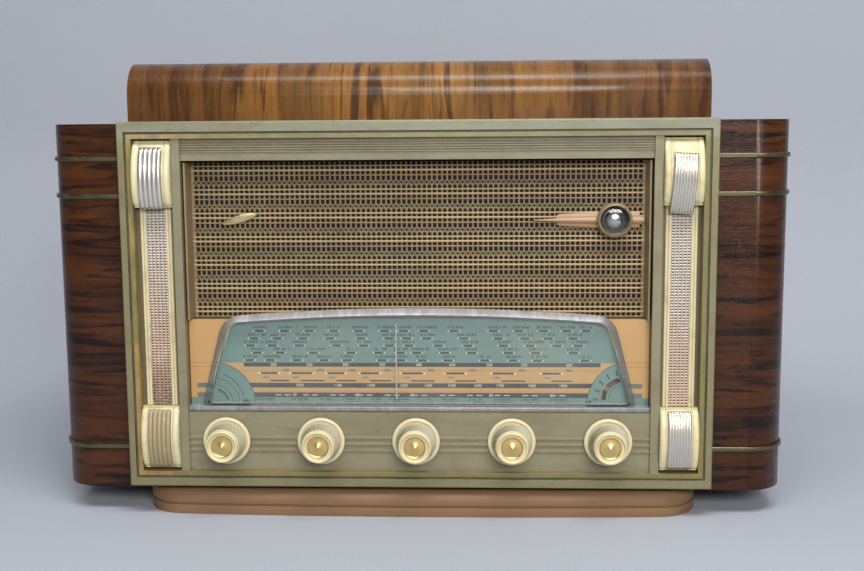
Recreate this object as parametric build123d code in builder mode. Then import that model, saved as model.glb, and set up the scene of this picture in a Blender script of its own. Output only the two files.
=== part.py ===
"""Table radio of the nineteen-fifties: veneered cabinet with rounded wings and a raised hood,
moulded front with a pierced grille, a wide dial and five knobs, and a valve chassis inside."""
from build123d import *
import math
import os

os.makedirs("parts", exist_ok=True)

# ---------------------------------------------------------------- overall sizes, millimetres
overall_depth = 232.0
frame_width = 450.0
frame_height = 282.0
wing_reach = 59.0
hood_rise = 45.0
plinth_height = 20.0

# ---------------------------------------------------------------- cabinet
ply = 8.0
fit_gap = 0.5
front_y = -overall_depth / 2
floor_z = plinth_height
frame_z = floor_z + ply / 2
frame_top = frame_z + frame_height
wing_setback = 12.0
wing_tuck = 3.0
wing_inner_x = frame_width / 2 - wing_tuck
wing_outer_x = frame_width / 2 + wing_reach
wing_radius = 30.0
wing_top = frame_top - 1.5
board_depth = 20.0
board_rear = board_depth + ply
board_overlap = 18.0
rear_depth = overall_depth - 4.0
hood_clearance = 2.0
hood_setback = board_depth + hood_clearance
hood_top = frame_top + hood_rise
hood_radius = 26.0
bead_height = 3.4
bead_proud = 1.8
bead_top_drop = 29.7
bead_pitch = 28.5
bead_low_z = frame_z + 27.3
plinth_half = wing_inner_x - 4.0
plinth_front = 1.5
plinth_bow = 6.0
plinth_corner = 34.0
plinth_inset = 12.0
plinth_groove_z = 7.2
plinth_groove_height = 1.6
plinth_round = 8.0

# ---------------------------------------------------------------- moulded front
flange_depth = wing_setback
groove_width = 1.5
groove_depth = 1.5
bead_width = 3.6
bead_drop = 0.8
recess_half = frame_width / 2 - 10.5
recess_bottom = frame_z + 12.0
recess_top = frame_top - 13.0
panel_depth = 4.0
well_depth = 10.0
well_width = 30.0
bar_width = 6.6
bar_depth = 2.0
well_inner_x = recess_half - well_width
opening_half = well_inner_x - bar_width
header_height = 16.6
grille_top = recess_top - header_height
dial_bottom = frame_z + 59.0
dial_height = 71.5
grille_bottom = dial_bottom + dial_height
header_rib = 0.9
header_rib_pitch = 1.9
header_rib_count = 5
lower_rib = 2.0
lower_rib_pitch = 5.0
lower_rib_count = 3
lower_rib_z = frame_z + 29.5

# ---------------------------------------------------------------- grille, eye and badge
cloth_thickness = 0.6
grille_thickness = 2.0
cloth_front = board_depth - cloth_thickness
grille_front = cloth_front - grille_thickness
tray_wall = 1.3
grille_window_height = 2.6
grille_row_pitch = 4.5
grille_bar_width = 3.0
grille_columns = 9
eye_x = opening_half - 27.9
eye_z = grille_top - 46.6
eye_radius = 11.0
eye_front = 9.0
eye_glass_rear = 75.0
eye_base_radius = 14.0
eye_base_length = 15.0
eye_dome = 2.5
eye_crown = 0.4
eye_crown_radius = 6.0
eye_brow = 1.4
eye_brow_radius = 9.9
sleeve_flange = 8.0
bezel_radius = 13.3
bezel_front = 8.0
bar_tip_reach = 61.0
bar_step_reach = 43.0
bar_shoulder_reach = 13.0
bar_end_reach = 22.5
bar_tip_half = 1.9
bar_step_half = 4.0
ornament_half = 6.2
ornament_thickness = 2.0
badge_x = -opening_half + 41.7
badge_z = eye_z + 1.7
badge_length = 29.0
badge_height = 6.0
badge_slant = 16.0

# ---------------------------------------------------------------- columns: ribbons, clips, plates
column_x = well_inner_x + well_width / 2
ribbon_width = 24.2
ribbon_thickness = 2.0
clip_width = well_width - 0.6
clip_radius = 48.0
clip_proud = 4.5
clip_axis_depth = clip_radius - clip_proud
top_clip_rise = 28.6
top_clip_fall = 21.5
top_clip_z = recess_top - 30.0
bottom_clip_reach = 24.1
bottom_clip_z = recess_bottom + 26.5
plate_width = 17.2
plate_thickness = 0.8
plate_rib_height = 0.9
plate_high_angle = 28.6
plate_low_angle = -27.5
plate_slip_angle = 8.2
plate_stretch_angle = 1.0
plate_margin_angle = 3.0
bold_rib_count = 5
fine_rib_count = 8
rib_share = 0.62

# ---------------------------------------------------------------- dial
lens_foot_inset = 9.2
lens_head_inset = 27.8
lens_shoulder_rise = 2.0
lens_bow = 6.5
lens_foot_half = opening_half - lens_foot_inset
lens_head_half = opening_half - lens_head_inset
lens_foot_z = dial_bottom + fit_gap
lens_shoulder_z = dial_bottom + dial_height + lens_shoulder_rise
lens_crown_z = lens_shoulder_z + lens_bow
lens_head_corner = 18.0
lens_foot_corner = 6.0
lens_front = 4.0
lens_wall = 2.0
lens_rim = 5.6
lens_bevel = 4.4
lip_front = 3.0
lip_height = 3.6
lip_round = 1.2
card_front = 12.0
card_thickness = 1.5
pointer_x = -16.2
pointer_travel = 130.0
pointer_width = 0.8
pointer_depth = 8.0
pointer_z = dial_bottom + 10.0
pointer_top = dial_bottom + 68.4
arm_height = 1.6
slot_height = 3.6
rail_depth = 33.0
rail_radius = 1.5
rail_clearance = 3.0
rail_overhang = 2.0
rail_bracket_width = 4.0
rail_bracket_reach = 3.0
running_gap = 0.05
carriage_length = 14.0
carriage_size = 8.0
lamp_x = 110.7
lamp_rise = 41.0
lamp_z = dial_bottom + lamp_rise
lamp_radius = 5.2
lamp_nose = 4.0
lamp_tip = 0.8
lamp_tip_radius = 3.1
lamp_shoulder = 3.2
lamp_socket_radius = 4.7
lamp_flange = 3.5
lamp_socket_length = 12.0
indicator_x = opening_half - 20.5
indicator_rise = 9.4
indicator_z = dial_bottom + indicator_rise
indicator_thickness = 1.0
indicator_depth = 15.0
indicator_shaft = 2.0
indicator_hub = 4.0
indicator_hub_length = 3.7
indicator_hub_gap = 0.3
indicator_arm_width = 3.6
indicator_rest_angle = 150.0
window_inner = 12.3
window_outer = 16.2
window_first_angle = 98.0
window_last_angle = 182.0

# ---------------------------------------------------------------- knobs and spindles
knob_z = frame_z + 36.5
knob_margin = 30.9
knob_shift = -1.1
knob_count = 5
knob_pitch = 2 * (opening_half - knob_margin) / (knob_count - 1)
knob_flange_radius = 18.4
knob_flange_thickness = 3.0
knob_back = 2.5
knob_body_rear_radius = 15.4
knob_body_front_radius = 12.6
knob_cap_radius = 12.0
knob_cap_round = 1.0
knob_cap_depth = -15.0
knob_face_depth = -19.0
inlay_radius = 8.3
inlay_seat = 2.4
inlay_rim = 1.0
inlay_rise = 1.5
inlay_core_radius = 2.5
inlay_core_rise = 0.5
spindle_radius = 3.0
spindle_front = -10.0
spindle_rear = 58.0
knob_bore = spindle_radius + running_gap
spindle_hole = 4.5

# ---------------------------------------------------------------- chassis and what stands on it
sheet = 1.5
chassis_front = 44.0
chassis_setback = 14.0
chassis_rear = rear_depth - chassis_setback
chassis_margin = 32.0
chassis_half = wing_inner_x - chassis_margin
chassis_bottom = frame_z + ply / 2
chassis_top = dial_bottom + 9.0
can_radius = 13.0
can_rear = 60.0
bush_radius = 4.95
bush_front = 36.0
bush_hole = 5.05
rear_row_setback = 27.2
middle_row_setback = 71.4
rear_row = chassis_rear - rear_row_setback
middle_row = chassis_rear - middle_row_setback
valve_radius = 11.0
valve_base_height = 6.0
valve_height = 66.0
valve_base_rim = 1.5
valve_crown = 1.5
valve_crown_radius = 7.7
valve_count = 5
valve_first_x = -57.0
valve_end_margin = 41.6
valve_pitch = (chassis_half - valve_end_margin - valve_first_x) / (valve_count - 1)
screen_can_size = 28.0
screen_can_height = 62.0
screen_can_x = 41.8
transformer_margin = 64.6
transformer_x = transformer_margin - chassis_half
transformer_width = 72.0
transformer_length = 56.0
transformer_height = 66.0
coil_bulge = 9.0

# ---------------------------------------------------------------- tuning capacitor
capacitor_margin = 64.6
capacitor_x = chassis_half - capacitor_margin
capacitor_front = 60.0
capacitor_width = 58.0
stator_count = 5
stator_pitch = 8.0
vane_thickness = 1.0
vane_radius = 24.0
capacitor_axis_z = chassis_top + 40.0
capacitor_shaft = 3.0
shaft_overhang = 2.0
capacitor_plate = 2.0
capacitor_rear = capacitor_front + capacitor_plate + (stator_count + 1) * stator_pitch
drum_radius = 30.0
drum_front = 46.0
drum_rear = 54.0
drum_groove = 2.0
drum_flange = 3.0
rotor_rest_angle = 78.0

# ---------------------------------------------------------------- loudspeaker
grille_height = grille_top - grille_bottom
speaker_hole_margin = 2.5
speaker_hole = grille_height / 2 - speaker_hole_margin
speaker_flange = 15.9
speaker_radius = speaker_hole + speaker_flange
speaker_z = (grille_top + grille_bottom) / 2
basket_rear = 68.0
basket_rear_radius = 31.7
magnet_rear = 92.0
cone_flange = 1.5
cone_wall = 1.0
cone_rear = 62.0
voice_radius = 13.4
cone_roll = 0.5
cone_seat_width = 1.5
cone_inset = 2.0
cone_taper = 4.0
basket_wall = 2.0

# ---------------------------------------------------------------- back cover
cover_inset = 3.0
cover_rear = overall_depth - 1.5
vent_length = 26.0
vent_width = 4.0
vent_columns = 11
vent_rows = 6
vent_drop = 10.5
vent_margin = 41.9
apron_margin = 6.0
apron_rise = 28.0
screw_head = 4.0
screw_margin = 6.0
screw_slot_depth = 0.6
screw_slot_half = 0.5
socket_margin = 95.0
socket_x = chassis_half - socket_margin
socket_z = chassis_bottom + 30.0
socket_pitch = 14.0
socket_count = 4
socket_hole = 2.0
socket_radius = 4.5
socket_flange = 6.0
socket_length = 7.5
grommet_margin = 53.2
grommet_x = grommet_margin - chassis_half
grommet_z = chassis_bottom + 28.0
grommet_bore = 3.5
grommet_neck = 6.0
grommet_flange = 9.0
grommet_lip = 1.5


def wall(depth):
    """Upright plane facing the front, at a depth behind the face of the moulding."""
    return Plane.XZ.offset(-(front_y + depth))


def block(x_range, depth_range, z_range, mode=Mode.ADD):
    """Straight-sided block between two planes in each direction."""
    width = x_range[1] - x_range[0]
    depth = depth_range[1] - depth_range[0]
    height = z_range[1] - z_range[0]
    middle_x = sum(x_range) / 2
    middle_y = front_y + sum(depth_range) / 2
    middle_z = sum(z_range) / 2
    with Locations((middle_x, middle_y, middle_z)):
        Box(width, depth, height, mode=mode)


def rod(x, z, radius, depth_range, mode=Mode.ADD):
    """Round bar running from front to back."""
    length = depth_range[1] - depth_range[0]
    middle_y = front_y + sum(depth_range) / 2
    with Locations((x, middle_y, z)):
        Cylinder(radius, length, rotation=(90, 0, 0), mode=mode)


def turned(x, z, outline, mode=Mode.ADD):
    """Solid turned about a front-to-back axis from corners given as radius and depth."""
    start = (x, front_y, z)
    with BuildSketch(Plane(origin=start, x_dir=(1, 0, 0), z_dir=(0, 0, 1))) as profile:
        with BuildLine():
            Polyline(*outline, close=True)
        make_face()
    revolve(profile.sketch, axis=Axis(start, (0, 1, 0)), mode=mode)


def knob_x(place):
    """Centre of a knob, counted from the left from nought."""
    return knob_shift + (place - (knob_count - 1) / 2) * knob_pitch


def finish(builder, name):
    """Name a finished piece and write its file."""
    builder.part.label = name
    export_step(builder.part, "parts/" + name + ".step")


# ---------------------------------------------------------------- plinth: moulded wooden base board
plinth_shoulder = plinth_front + plinth_bow
with BuildPart() as plinth:
    with BuildSketch() as plinth_plan:
        with BuildLine():
            left_front = (-plinth_half, front_y + plinth_shoulder)
            right_front = (plinth_half, front_y + plinth_shoulder)
            right_rear = (plinth_half, front_y + rear_depth - plinth_inset)
            left_rear = (-plinth_half, front_y + rear_depth - plinth_inset)
            ThreePointArc(left_front, (0, front_y + plinth_front), right_front)
            Polyline(right_front, right_rear, left_rear, left_front)
        make_face()
        fillet(plinth_plan.vertices().group_by(Axis.Y)[0], radius=plinth_corner)
    extrude(amount=plinth_height)
    fillet(plinth.faces().sort_by(Axis.Z)[-1].edges(), radius=plinth_round)
    with BuildSketch(Plane.XY.offset(plinth_groove_z)) as groove_ring:
        add(plinth_plan.sketch_local)
        offset(amount=-groove_depth, mode=Mode.SUBTRACT)
    extrude(amount=plinth_groove_height, mode=Mode.SUBTRACT)
finish(plinth, "plinth")

# ---------------------------------------------------------------- cabinet floor
with BuildPart() as cabinet_floor:
    block((-wing_inner_x, wing_inner_x), (board_depth, rear_depth), (floor_z, floor_z + ply))
finish(cabinet_floor, "cabinet_floor")


# ---------------------------------------------------------------- wings: bent plywood shells
def wing_outline(margin, inner_x, rear):
    """Plan of a wing with its rounded front corner, drawn in by a margin."""
    outer_x = wing_outer_x - margin
    front = front_y + wing_setback + margin
    with BuildSketch() as plan:
        with BuildLine():
            Polyline((outer_x, front), (inner_x, front), (inner_x, rear), (outer_x, rear), close=True)
        make_face()
        corner = plan.vertices().sort_by(Axis.X)[-2:].sort_by(Axis.Y)[0]
        fillet(corner, radius=wing_radius - margin)
    return plan.sketch_local


wing_rear = front_y + rear_depth
with BuildPart() as wing_right:
    with BuildSketch(Plane.XY.offset(floor_z)):
        add(wing_outline(0, wing_inner_x, wing_rear))
    extrude(amount=wing_top - floor_z)
    with BuildSketch(Plane.XY.offset(floor_z + ply)):
        add(wing_outline(ply, wing_inner_x - ply, wing_rear + ply))
    extrude(amount=wing_top - floor_z - 2 * ply, mode=Mode.SUBTRACT)
finish(wing_right, "wing_right")

with BuildPart() as wing_left:
    add(mirror(wing_right.part, Plane.YZ))
finish(wing_left, "wing_left")

# ---------------------------------------------------------------- beads: three strips on each wing
bead_start_x = frame_width / 2 + fit_gap
bead_levels = [bead_low_z, frame_top - bead_top_drop, frame_top - bead_top_drop - bead_pitch]
with BuildPart() as wing_beads_right:
    for level in bead_levels:
        with BuildSketch(Plane.XY.offset(level)):
            add(wing_outline(-bead_proud, bead_start_x, wing_rear))
            add(wing_outline(0, bead_start_x - ply, wing_rear + ply), mode=Mode.SUBTRACT)
        extrude(amount=bead_height)
finish(wing_beads_right, "wing_beads_right")

with BuildPart() as wing_beads_left:
    add(mirror(wing_beads_right.part, Plane.YZ))
finish(wing_beads_left, "wing_beads_left")


# ---------------------------------------------------------------- hood: raised top, rounded at the front
def hood_outline(margin, bottom, rear):
    """Side view of the hood, drawn in by a margin."""
    front = front_y + hood_setback + margin
    top = hood_top - margin
    with BuildSketch() as side_view:
        with BuildLine():
            Polyline((front, bottom), (rear, bottom), (rear, top), (front, top), close=True)
        make_face()
        corner = side_view.vertices().sort_by(Axis.Y)[-2:].sort_by(Axis.X)[0]
        fillet(corner, radius=hood_radius - margin)
    return side_view.sketch_local


hood_bottom = wing_top - ply
with BuildPart() as hood:
    with BuildSketch(Plane.YZ.offset(-wing_inner_x)):
        add(hood_outline(0, hood_bottom, wing_rear))
    extrude(amount=2 * wing_inner_x)
    with BuildSketch(Plane.YZ.offset(-wing_inner_x + ply)):
        add(hood_outline(ply, hood_bottom - ply, wing_rear + ply))
    extrude(amount=2 * (wing_inner_x - ply), mode=Mode.SUBTRACT)
finish(hood, "hood")

# ---------------------------------------------------------------- front board behind the moulding
board_half = wing_inner_x + board_overlap
board_top = hood_bottom
slot_half = pointer_travel + carriage_length / 2 + rail_clearance
with BuildPart() as front_board:
    block((-board_half, board_half), (board_depth, board_rear), (floor_z + ply, board_top))
    rod(0, speaker_z, speaker_hole, (board_depth, board_rear), Mode.SUBTRACT)
    rod(eye_x, eye_z, eye_radius + fit_gap, (board_depth, board_rear), Mode.SUBTRACT)
    slot_z = (pointer_z - carriage_size / 2, pointer_z + carriage_size / 2)
    block((-slot_half, slot_half), (board_depth, board_rear), slot_z, Mode.SUBTRACT)
    for place in range(knob_count):
        rod(knob_x(place), knob_z, spindle_hole, (board_depth, board_rear), Mode.SUBTRACT)
    for side in (-1, 1):
        rod(side * lamp_x, lamp_z, lamp_radius + fit_gap, (board_depth, board_rear), Mode.SUBTRACT)
    indicator_bore = indicator_shaft + running_gap
    rod(indicator_x, indicator_z, indicator_bore, (board_depth, board_rear), Mode.SUBTRACT)
finish(front_board, "front_board")

# ---------------------------------------------------------------- front moulding
frame_half = frame_width / 2
back_half = wing_inner_x - fit_gap
with BuildPart() as front_moulding:
    block((-frame_half, frame_half), (0, flange_depth), (frame_z, frame_top))
    fillet(front_moulding.faces().sort_by(Axis.Y)[0].edges(), radius=groove_depth)
    back_z = (frame_z + bar_depth, board_top - fit_gap)
    block((-back_half, back_half), (flange_depth, board_depth), back_z)
    with BuildSketch(wall(groove_depth)):
        with Locations((0, (recess_bottom + recess_top) / 2)):
            groove_inner = 2 * (recess_half + bead_width)
            bead_inner_height = recess_top - recess_bottom + 2 * bead_width
            Rectangle(groove_inner + 2 * groove_width, bead_inner_height + 2 * groove_width)
            Rectangle(groove_inner, bead_inner_height, mode=Mode.SUBTRACT)
    extrude(amount=groove_depth, mode=Mode.SUBTRACT)
    bead_x = (-recess_half - bead_width, recess_half + bead_width)
    block(bead_x, (0, bead_drop), (recess_bottom - bead_width, recess_top + bead_width), Mode.SUBTRACT)
    recess_z = (recess_bottom, recess_top)
    block((-recess_half, recess_half), (0, panel_depth), recess_z, Mode.SUBTRACT)
    block((-recess_half, -well_inner_x), (0, well_depth), recess_z, Mode.SUBTRACT)
    block((well_inner_x, recess_half), (0, well_depth), recess_z, Mode.SUBTRACT)
    opening_z = (dial_bottom, grille_top)
    block((-opening_half, opening_half), (0, board_depth), opening_z, Mode.SUBTRACT)
    block((-well_inner_x, -opening_half), (bar_depth, board_depth), recess_z)
    block((opening_half, well_inner_x), (bar_depth, board_depth), recess_z)
    for rib in range(header_rib_count):
        rib_z = recess_top - header_rib_pitch * (rib + 1)
        rib_range = (rib_z - header_rib, rib_z)
        block((-opening_half, opening_half), (panel_depth - header_rib, panel_depth), rib_range)
    for rib in range(lower_rib_count):
        rib_z = lower_rib_z + rib * lower_rib_pitch - lower_rib
        rib_range = (rib_z, rib_z + lower_rib)
        block((-opening_half, opening_half), (panel_depth - header_rib, panel_depth), rib_range)
    for place in range(knob_count):
        rod(knob_x(place), knob_z, spindle_hole, (0, board_depth), Mode.SUBTRACT)
finish(front_moulding, "front_moulding")

# ---------------------------------------------------------------- grille cloth
cloth_half = opening_half - fit_gap
cloth_z = (grille_bottom, grille_top - fit_gap)
with BuildPart() as grille_cloth:
    block((-cloth_half, cloth_half), (cloth_front, board_depth), cloth_z)
    rod(eye_x, eye_z, eye_radius + fit_gap, (cloth_front, board_depth), Mode.SUBTRACT)
finish(grille_cloth, "grille_cloth")

# ---------------------------------------------------------------- grille: pierced tray
window_span = 2 * (cloth_half - tray_wall) - grille_bar_width
window_pitch = window_span / grille_columns
window_rows = int((grille_height - grille_row_pitch) / grille_row_pitch)
with BuildPart() as grille:
    block((-cloth_half, cloth_half), (bar_depth + panel_depth, cloth_front), cloth_z)
    tray_half = cloth_half - tray_wall
    tray_z = (grille_bottom, cloth_z[1] - tray_wall)
    block((-tray_half, tray_half), (0, grille_front), tray_z, Mode.SUBTRACT)
    with BuildSketch(wall(cloth_front)):
        with Locations((0, (grille_bottom + cloth_z[1]) / 2)):
            with GridLocations(window_pitch, grille_row_pitch, grille_columns, window_rows):
                Rectangle(window_pitch - grille_bar_width, grille_window_height)
    extrude(amount=grille_thickness, mode=Mode.SUBTRACT)
    turned(eye_x, eye_z, [(0, grille_front), (bezel_radius, grille_front), (bezel_radius, cloth_front),
                          (0, cloth_front)])
    rod(eye_x, eye_z, eye_radius + fit_gap, (grille_front, cloth_front), Mode.SUBTRACT)
finish(grille, "grille")

# ---------------------------------------------------------------- eye bezel: ring with a pointed bar
bar_tip_x = eye_x - bar_tip_reach
bar_step_x = eye_x - bar_step_reach
bar_shoulder_x = eye_x - bar_shoulder_reach
bar_end_x = eye_x + bar_end_reach
with BuildPart() as eye_bezel:
    with BuildSketch(wall(grille_front)):
        with BuildLine():
            Polyline(
                (bar_tip_x, eye_z),
                (bar_step_x, eye_z + bar_tip_half),
                (bar_step_x, eye_z + bar_step_half),
                (bar_shoulder_x, eye_z + ornament_half),
                (bar_end_x, eye_z + ornament_half),
                (bar_end_x, eye_z - ornament_half),
                (bar_shoulder_x, eye_z - ornament_half),
                (bar_step_x, eye_z - bar_step_half),
                (bar_step_x, eye_z - bar_tip_half),
                close=True,
            )
        make_face()
    extrude(amount=ornament_thickness)
    rod(eye_x, eye_z, bezel_radius, (bezel_front, grille_front))
    rod(eye_x, eye_z, eye_radius + fit_gap, (bezel_front, grille_front), Mode.SUBTRACT)
finish(eye_bezel, "eye_bezel")

# ---------------------------------------------------------------- magic eye: tuning indicator valve
eye_glass_front = eye_front + eye_dome
with BuildPart() as magic_eye:
    turned(eye_x, eye_z, [
        (0, eye_front),
        (eye_crown_radius, eye_front + eye_crown),
        (eye_brow_radius, eye_front + eye_brow),
        (eye_radius, eye_glass_front),
        (eye_radius, eye_glass_rear),
        (eye_base_radius, eye_glass_rear),
        (eye_base_radius, eye_glass_rear + eye_base_length),
        (0, eye_glass_rear + eye_base_length),
    ])
finish(magic_eye, "magic_eye")

sleeve_radius = eye_radius + running_gap
with BuildPart() as eye_sleeve:
    turned(eye_x, eye_z, [
        (sleeve_radius, board_rear),
        (sleeve_radius + sleeve_flange, board_rear),
        (sleeve_radius + sleeve_flange, board_rear + sheet),
        (sleeve_radius + sheet, board_rear + sheet),
        (sleeve_radius + sheet, eye_glass_rear),
        (sleeve_radius, eye_glass_rear),
    ])
finish(eye_sleeve, "eye_sleeve")

# ---------------------------------------------------------------- badge: plain slanted leaf
with BuildPart() as badge:
    with BuildSketch(wall(grille_front)):
        with Locations((badge_x, badge_z)):
            Ellipse(badge_length / 2, badge_height / 2, rotation=badge_slant)
    extrude(amount=ornament_thickness)
finish(badge, "badge")

# ---------------------------------------------------------------- ribbons between the clips
ribbon_low = bottom_clip_z + bottom_clip_reach + fit_gap
ribbon_high = top_clip_z - top_clip_fall - fit_gap
with BuildPart() as ribbon_right:
    ribbon_x = (column_x - ribbon_width / 2, column_x + ribbon_width / 2)
    block(ribbon_x, (well_depth - ribbon_thickness, well_depth), (ribbon_low, ribbon_high))
finish(ribbon_right, "ribbon_right")

with BuildPart() as ribbon_left:
    add(mirror(ribbon_right.part, Plane.YZ))
finish(ribbon_left, "ribbon_left")


# ---------------------------------------------------------------- clips: curved ivory saddles
def clip_outline(level, rise, fall):
    """Side view of a clip: flat back against the well and a round front."""
    high = level + rise
    low = level - fall
    axis_y = front_y + clip_axis_depth
    high_y = axis_y - math.sqrt(clip_radius**2 - rise**2)
    low_y = axis_y - math.sqrt(clip_radius**2 - fall**2)
    back_y = front_y + well_depth
    with BuildSketch() as side_view:
        with BuildLine():
            ThreePointArc((high_y, high), (axis_y - clip_radius, level), (low_y, low))
            Polyline((low_y, low), (back_y, low), (back_y, high), (high_y, high))
        make_face()
    return side_view.sketch_local


def clip_body(x, level, rise, fall):
    """Clip with its front edges eased."""
    body = extrude(Plane.YZ.offset(x - clip_width / 2) * clip_outline(level, rise, fall), clip_width)
    front_edges = body.edges().filter_by(GeomType.CIRCLE)
    fillet(front_edges, radius=groove_width)


with BuildPart() as clip_top_right:
    clip_body(column_x, top_clip_z, top_clip_rise, top_clip_fall)
finish(clip_top_right, "clip_top_right")

with BuildPart() as clip_top_left:
    clip_body(-column_x, top_clip_z, top_clip_rise, top_clip_fall)
finish(clip_top_left, "clip_top_left")

with BuildPart() as clip_bottom_right:
    clip_body(column_x, bottom_clip_z, bottom_clip_reach, bottom_clip_reach)
finish(clip_bottom_right, "clip_bottom_right")

with BuildPart() as clip_bottom_left:
    clip_body(-column_x, bottom_clip_z, bottom_clip_reach, bottom_clip_reach)
finish(clip_bottom_left, "clip_bottom_left")


# ---------------------------------------------------------------- ribbed plates over the clips
def arc_band(level, high_angle, low_angle, inner, outer):
    """Side view of a curved band round the axis of a clip."""
    axis_y = front_y + clip_axis_depth
    middle = (high_angle + low_angle) / 2

    def place(radius, angle):
        turn = math.radians(angle)
        return (axis_y - radius * math.cos(turn), level + radius * math.sin(turn))

    with BuildSketch() as side_view:
        with BuildLine():
            ThreePointArc(place(inner, high_angle), place(inner, middle), place(inner, low_angle))
            Line(place(inner, low_angle), place(outer, low_angle))
            ThreePointArc(place(outer, low_angle), place(outer, middle), place(outer, high_angle))
            Line(place(outer, high_angle), place(inner, high_angle))
        make_face()
    return side_view.sketch_local


def ribbed_plate(x, level, high_angle, low_angle, count):
    """Bent metal plate with upright ribs."""
    outer = clip_radius + plate_thickness
    sheet_view = arc_band(level, high_angle, low_angle, clip_radius, outer)
    rib_view = arc_band(level, high_angle, low_angle, clip_radius, outer + plate_rib_height)
    extrude(Plane.YZ.offset(x - plate_width / 2) * sheet_view, plate_width)
    pitch = plate_width / count
    rib_width = rib_share * pitch
    for rib in range(count):
        rib_x = x + (rib - (count - 1) / 2) * pitch - rib_width / 2
        extrude(Plane.YZ.offset(rib_x) * rib_view, rib_width)


low_plate_angle = math.degrees(math.asin(bottom_clip_reach / clip_radius)) - plate_margin_angle
slipped_high = plate_high_angle - plate_slip_angle
slipped_low = plate_low_angle - plate_slip_angle + plate_stretch_angle
with BuildPart() as plate_top_left:
    ribbed_plate(-column_x, top_clip_z, plate_high_angle, plate_low_angle, bold_rib_count)
finish(plate_top_left, "plate_top_left")

with BuildPart() as plate_top_right:
    ribbed_plate(column_x, top_clip_z, slipped_high, slipped_low, fine_rib_count)
finish(plate_top_right, "plate_top_right")

with BuildPart() as plate_bottom_left:
    ribbed_plate(-column_x, bottom_clip_z, low_plate_angle, -low_plate_angle, bold_rib_count)
finish(plate_bottom_left, "plate_bottom_left")

with BuildPart() as plate_bottom_right:
    ribbed_plate(column_x, bottom_clip_z, low_plate_angle, -low_plate_angle, fine_rib_count)
finish(plate_bottom_right, "plate_bottom_right")


# ---------------------------------------------------------------- dial: printed card and clear window
def window_outline(inset):
    """Wide window with a bowed top edge, drawn in by an inset."""
    with BuildSketch() as outline:
        with BuildLine():
            left_shoulder = (-lens_head_half, lens_shoulder_z)
            right_shoulder = (lens_head_half, lens_shoulder_z)
            ThreePointArc(left_shoulder, (0, lens_crown_z), right_shoulder)
            Polyline(
                right_shoulder,
                (lens_foot_half, lens_foot_z),
                (-lens_foot_half, lens_foot_z),
                left_shoulder,
            )
        make_face()
        corners = outline.vertices().sort_by(Axis.Y)
        fillet(corners[-2:], radius=lens_head_corner)
        fillet(outline.vertices().group_by(Axis.Y)[0], radius=lens_foot_corner)
        if inset > 0:
            offset(amount=-inset, mode=Mode.REPLACE)
    return outline.sketch_local


card_rear = card_front + card_thickness
window_sweep = window_last_angle - window_first_angle
with BuildPart() as dial_card:
    card_half = opening_half - fit_gap
    block((-card_half, card_half), (card_front, card_rear), (dial_bottom, grille_bottom - fit_gap))
    with BuildSketch(wall(card_rear)):
        add(window_outline(lens_wall / 2))
    extrude(amount=card_thickness)
    card_slot_z = (pointer_z - slot_height / 2, pointer_z + slot_height / 2)
    card_slot_half = pointer_travel + slot_height
    block((-card_slot_half, card_slot_half), (card_front, card_rear), card_slot_z, Mode.SUBTRACT)
    with BuildSketch(wall(card_rear)):
        window_centre = (indicator_x, indicator_z)
        with BuildLine():
            outer_arc = CenterArc(window_centre, window_outer, window_first_angle, window_sweep)
            inner_arc = CenterArc(window_centre, window_inner, window_first_angle, window_sweep)
            Line(outer_arc @ 0, inner_arc @ 0)
            Line(outer_arc @ 1, inner_arc @ 1)
        make_face()
        with Locations((outer_arc @ 0 + inner_arc @ 0) / 2, (outer_arc @ 1 + inner_arc @ 1) / 2):
            Circle((window_outer - window_inner) / 2)
    extrude(amount=card_thickness, mode=Mode.SUBTRACT)
finish(dial_card, "dial_card")

with BuildPart() as dial_lens:
    with BuildSketch(wall(card_front)):
        add(window_outline(0))
    extrude(amount=card_front - lens_front)
    chamfer(dial_lens.faces().sort_by(Axis.Y)[0].edges(), length=lens_bevel)
    lip_z = (lens_foot_z, lens_foot_z + lip_height)
    block((-card_half, card_half), (lip_front, card_front), lip_z)
    fillet(dial_lens.edges().filter_by(Axis.X).group_by(Axis.Y)[0], radius=lip_round)
    with BuildSketch(wall(card_front)):
        add(window_outline(lens_rim))
    extrude(amount=card_front - lens_front - lens_wall, mode=Mode.SUBTRACT)
finish(dial_lens, "dial_lens")

# ---------------------------------------------------------------- pointer and its rail
rail_half = slot_half + rail_overhang
with BuildPart() as pointer_rail:
    with Locations((0, front_y + rail_depth, pointer_z)):
        Cylinder(rail_radius, 2 * rail_half, rotation=(0, 90, 0))
    for side in (-1, 1):
        bracket_x = sorted((side * rail_half, side * (rail_half + rail_bracket_width)))
        bracket_depth = (board_rear, rail_depth + rail_bracket_reach)
        block(bracket_x, bracket_depth, (pointer_z - rail_bracket_reach, pointer_z + rail_bracket_reach))
finish(pointer_rail, "pointer_rail")

arm_half = arm_height / 2
carriage_half = carriage_size / 2
with BuildPart() as dial_pointer:
    needle_x = (pointer_x - pointer_width / 2, pointer_x + pointer_width / 2)
    needle_depth = (pointer_depth, pointer_depth + pointer_width)
    block(needle_x, needle_depth, (pointer_z - arm_half, pointer_top))
    arm_z = (pointer_z - arm_half, pointer_z + arm_half)
    block(needle_x, (pointer_depth, rail_depth - carriage_half), arm_z)
    carriage_x = (pointer_x - carriage_length / 2, pointer_x + carriage_length / 2)
    carriage_depth = (rail_depth - carriage_half, rail_depth + carriage_half)
    block(carriage_x, carriage_depth, (pointer_z - carriage_half, pointer_z + carriage_half))
    with Locations((pointer_x, front_y + rail_depth, pointer_z)):
        bore = rail_radius + running_gap
        Cylinder(bore, carriage_length, rotation=(0, 90, 0), mode=Mode.SUBTRACT)
finish(dial_pointer, "dial_pointer")

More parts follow.
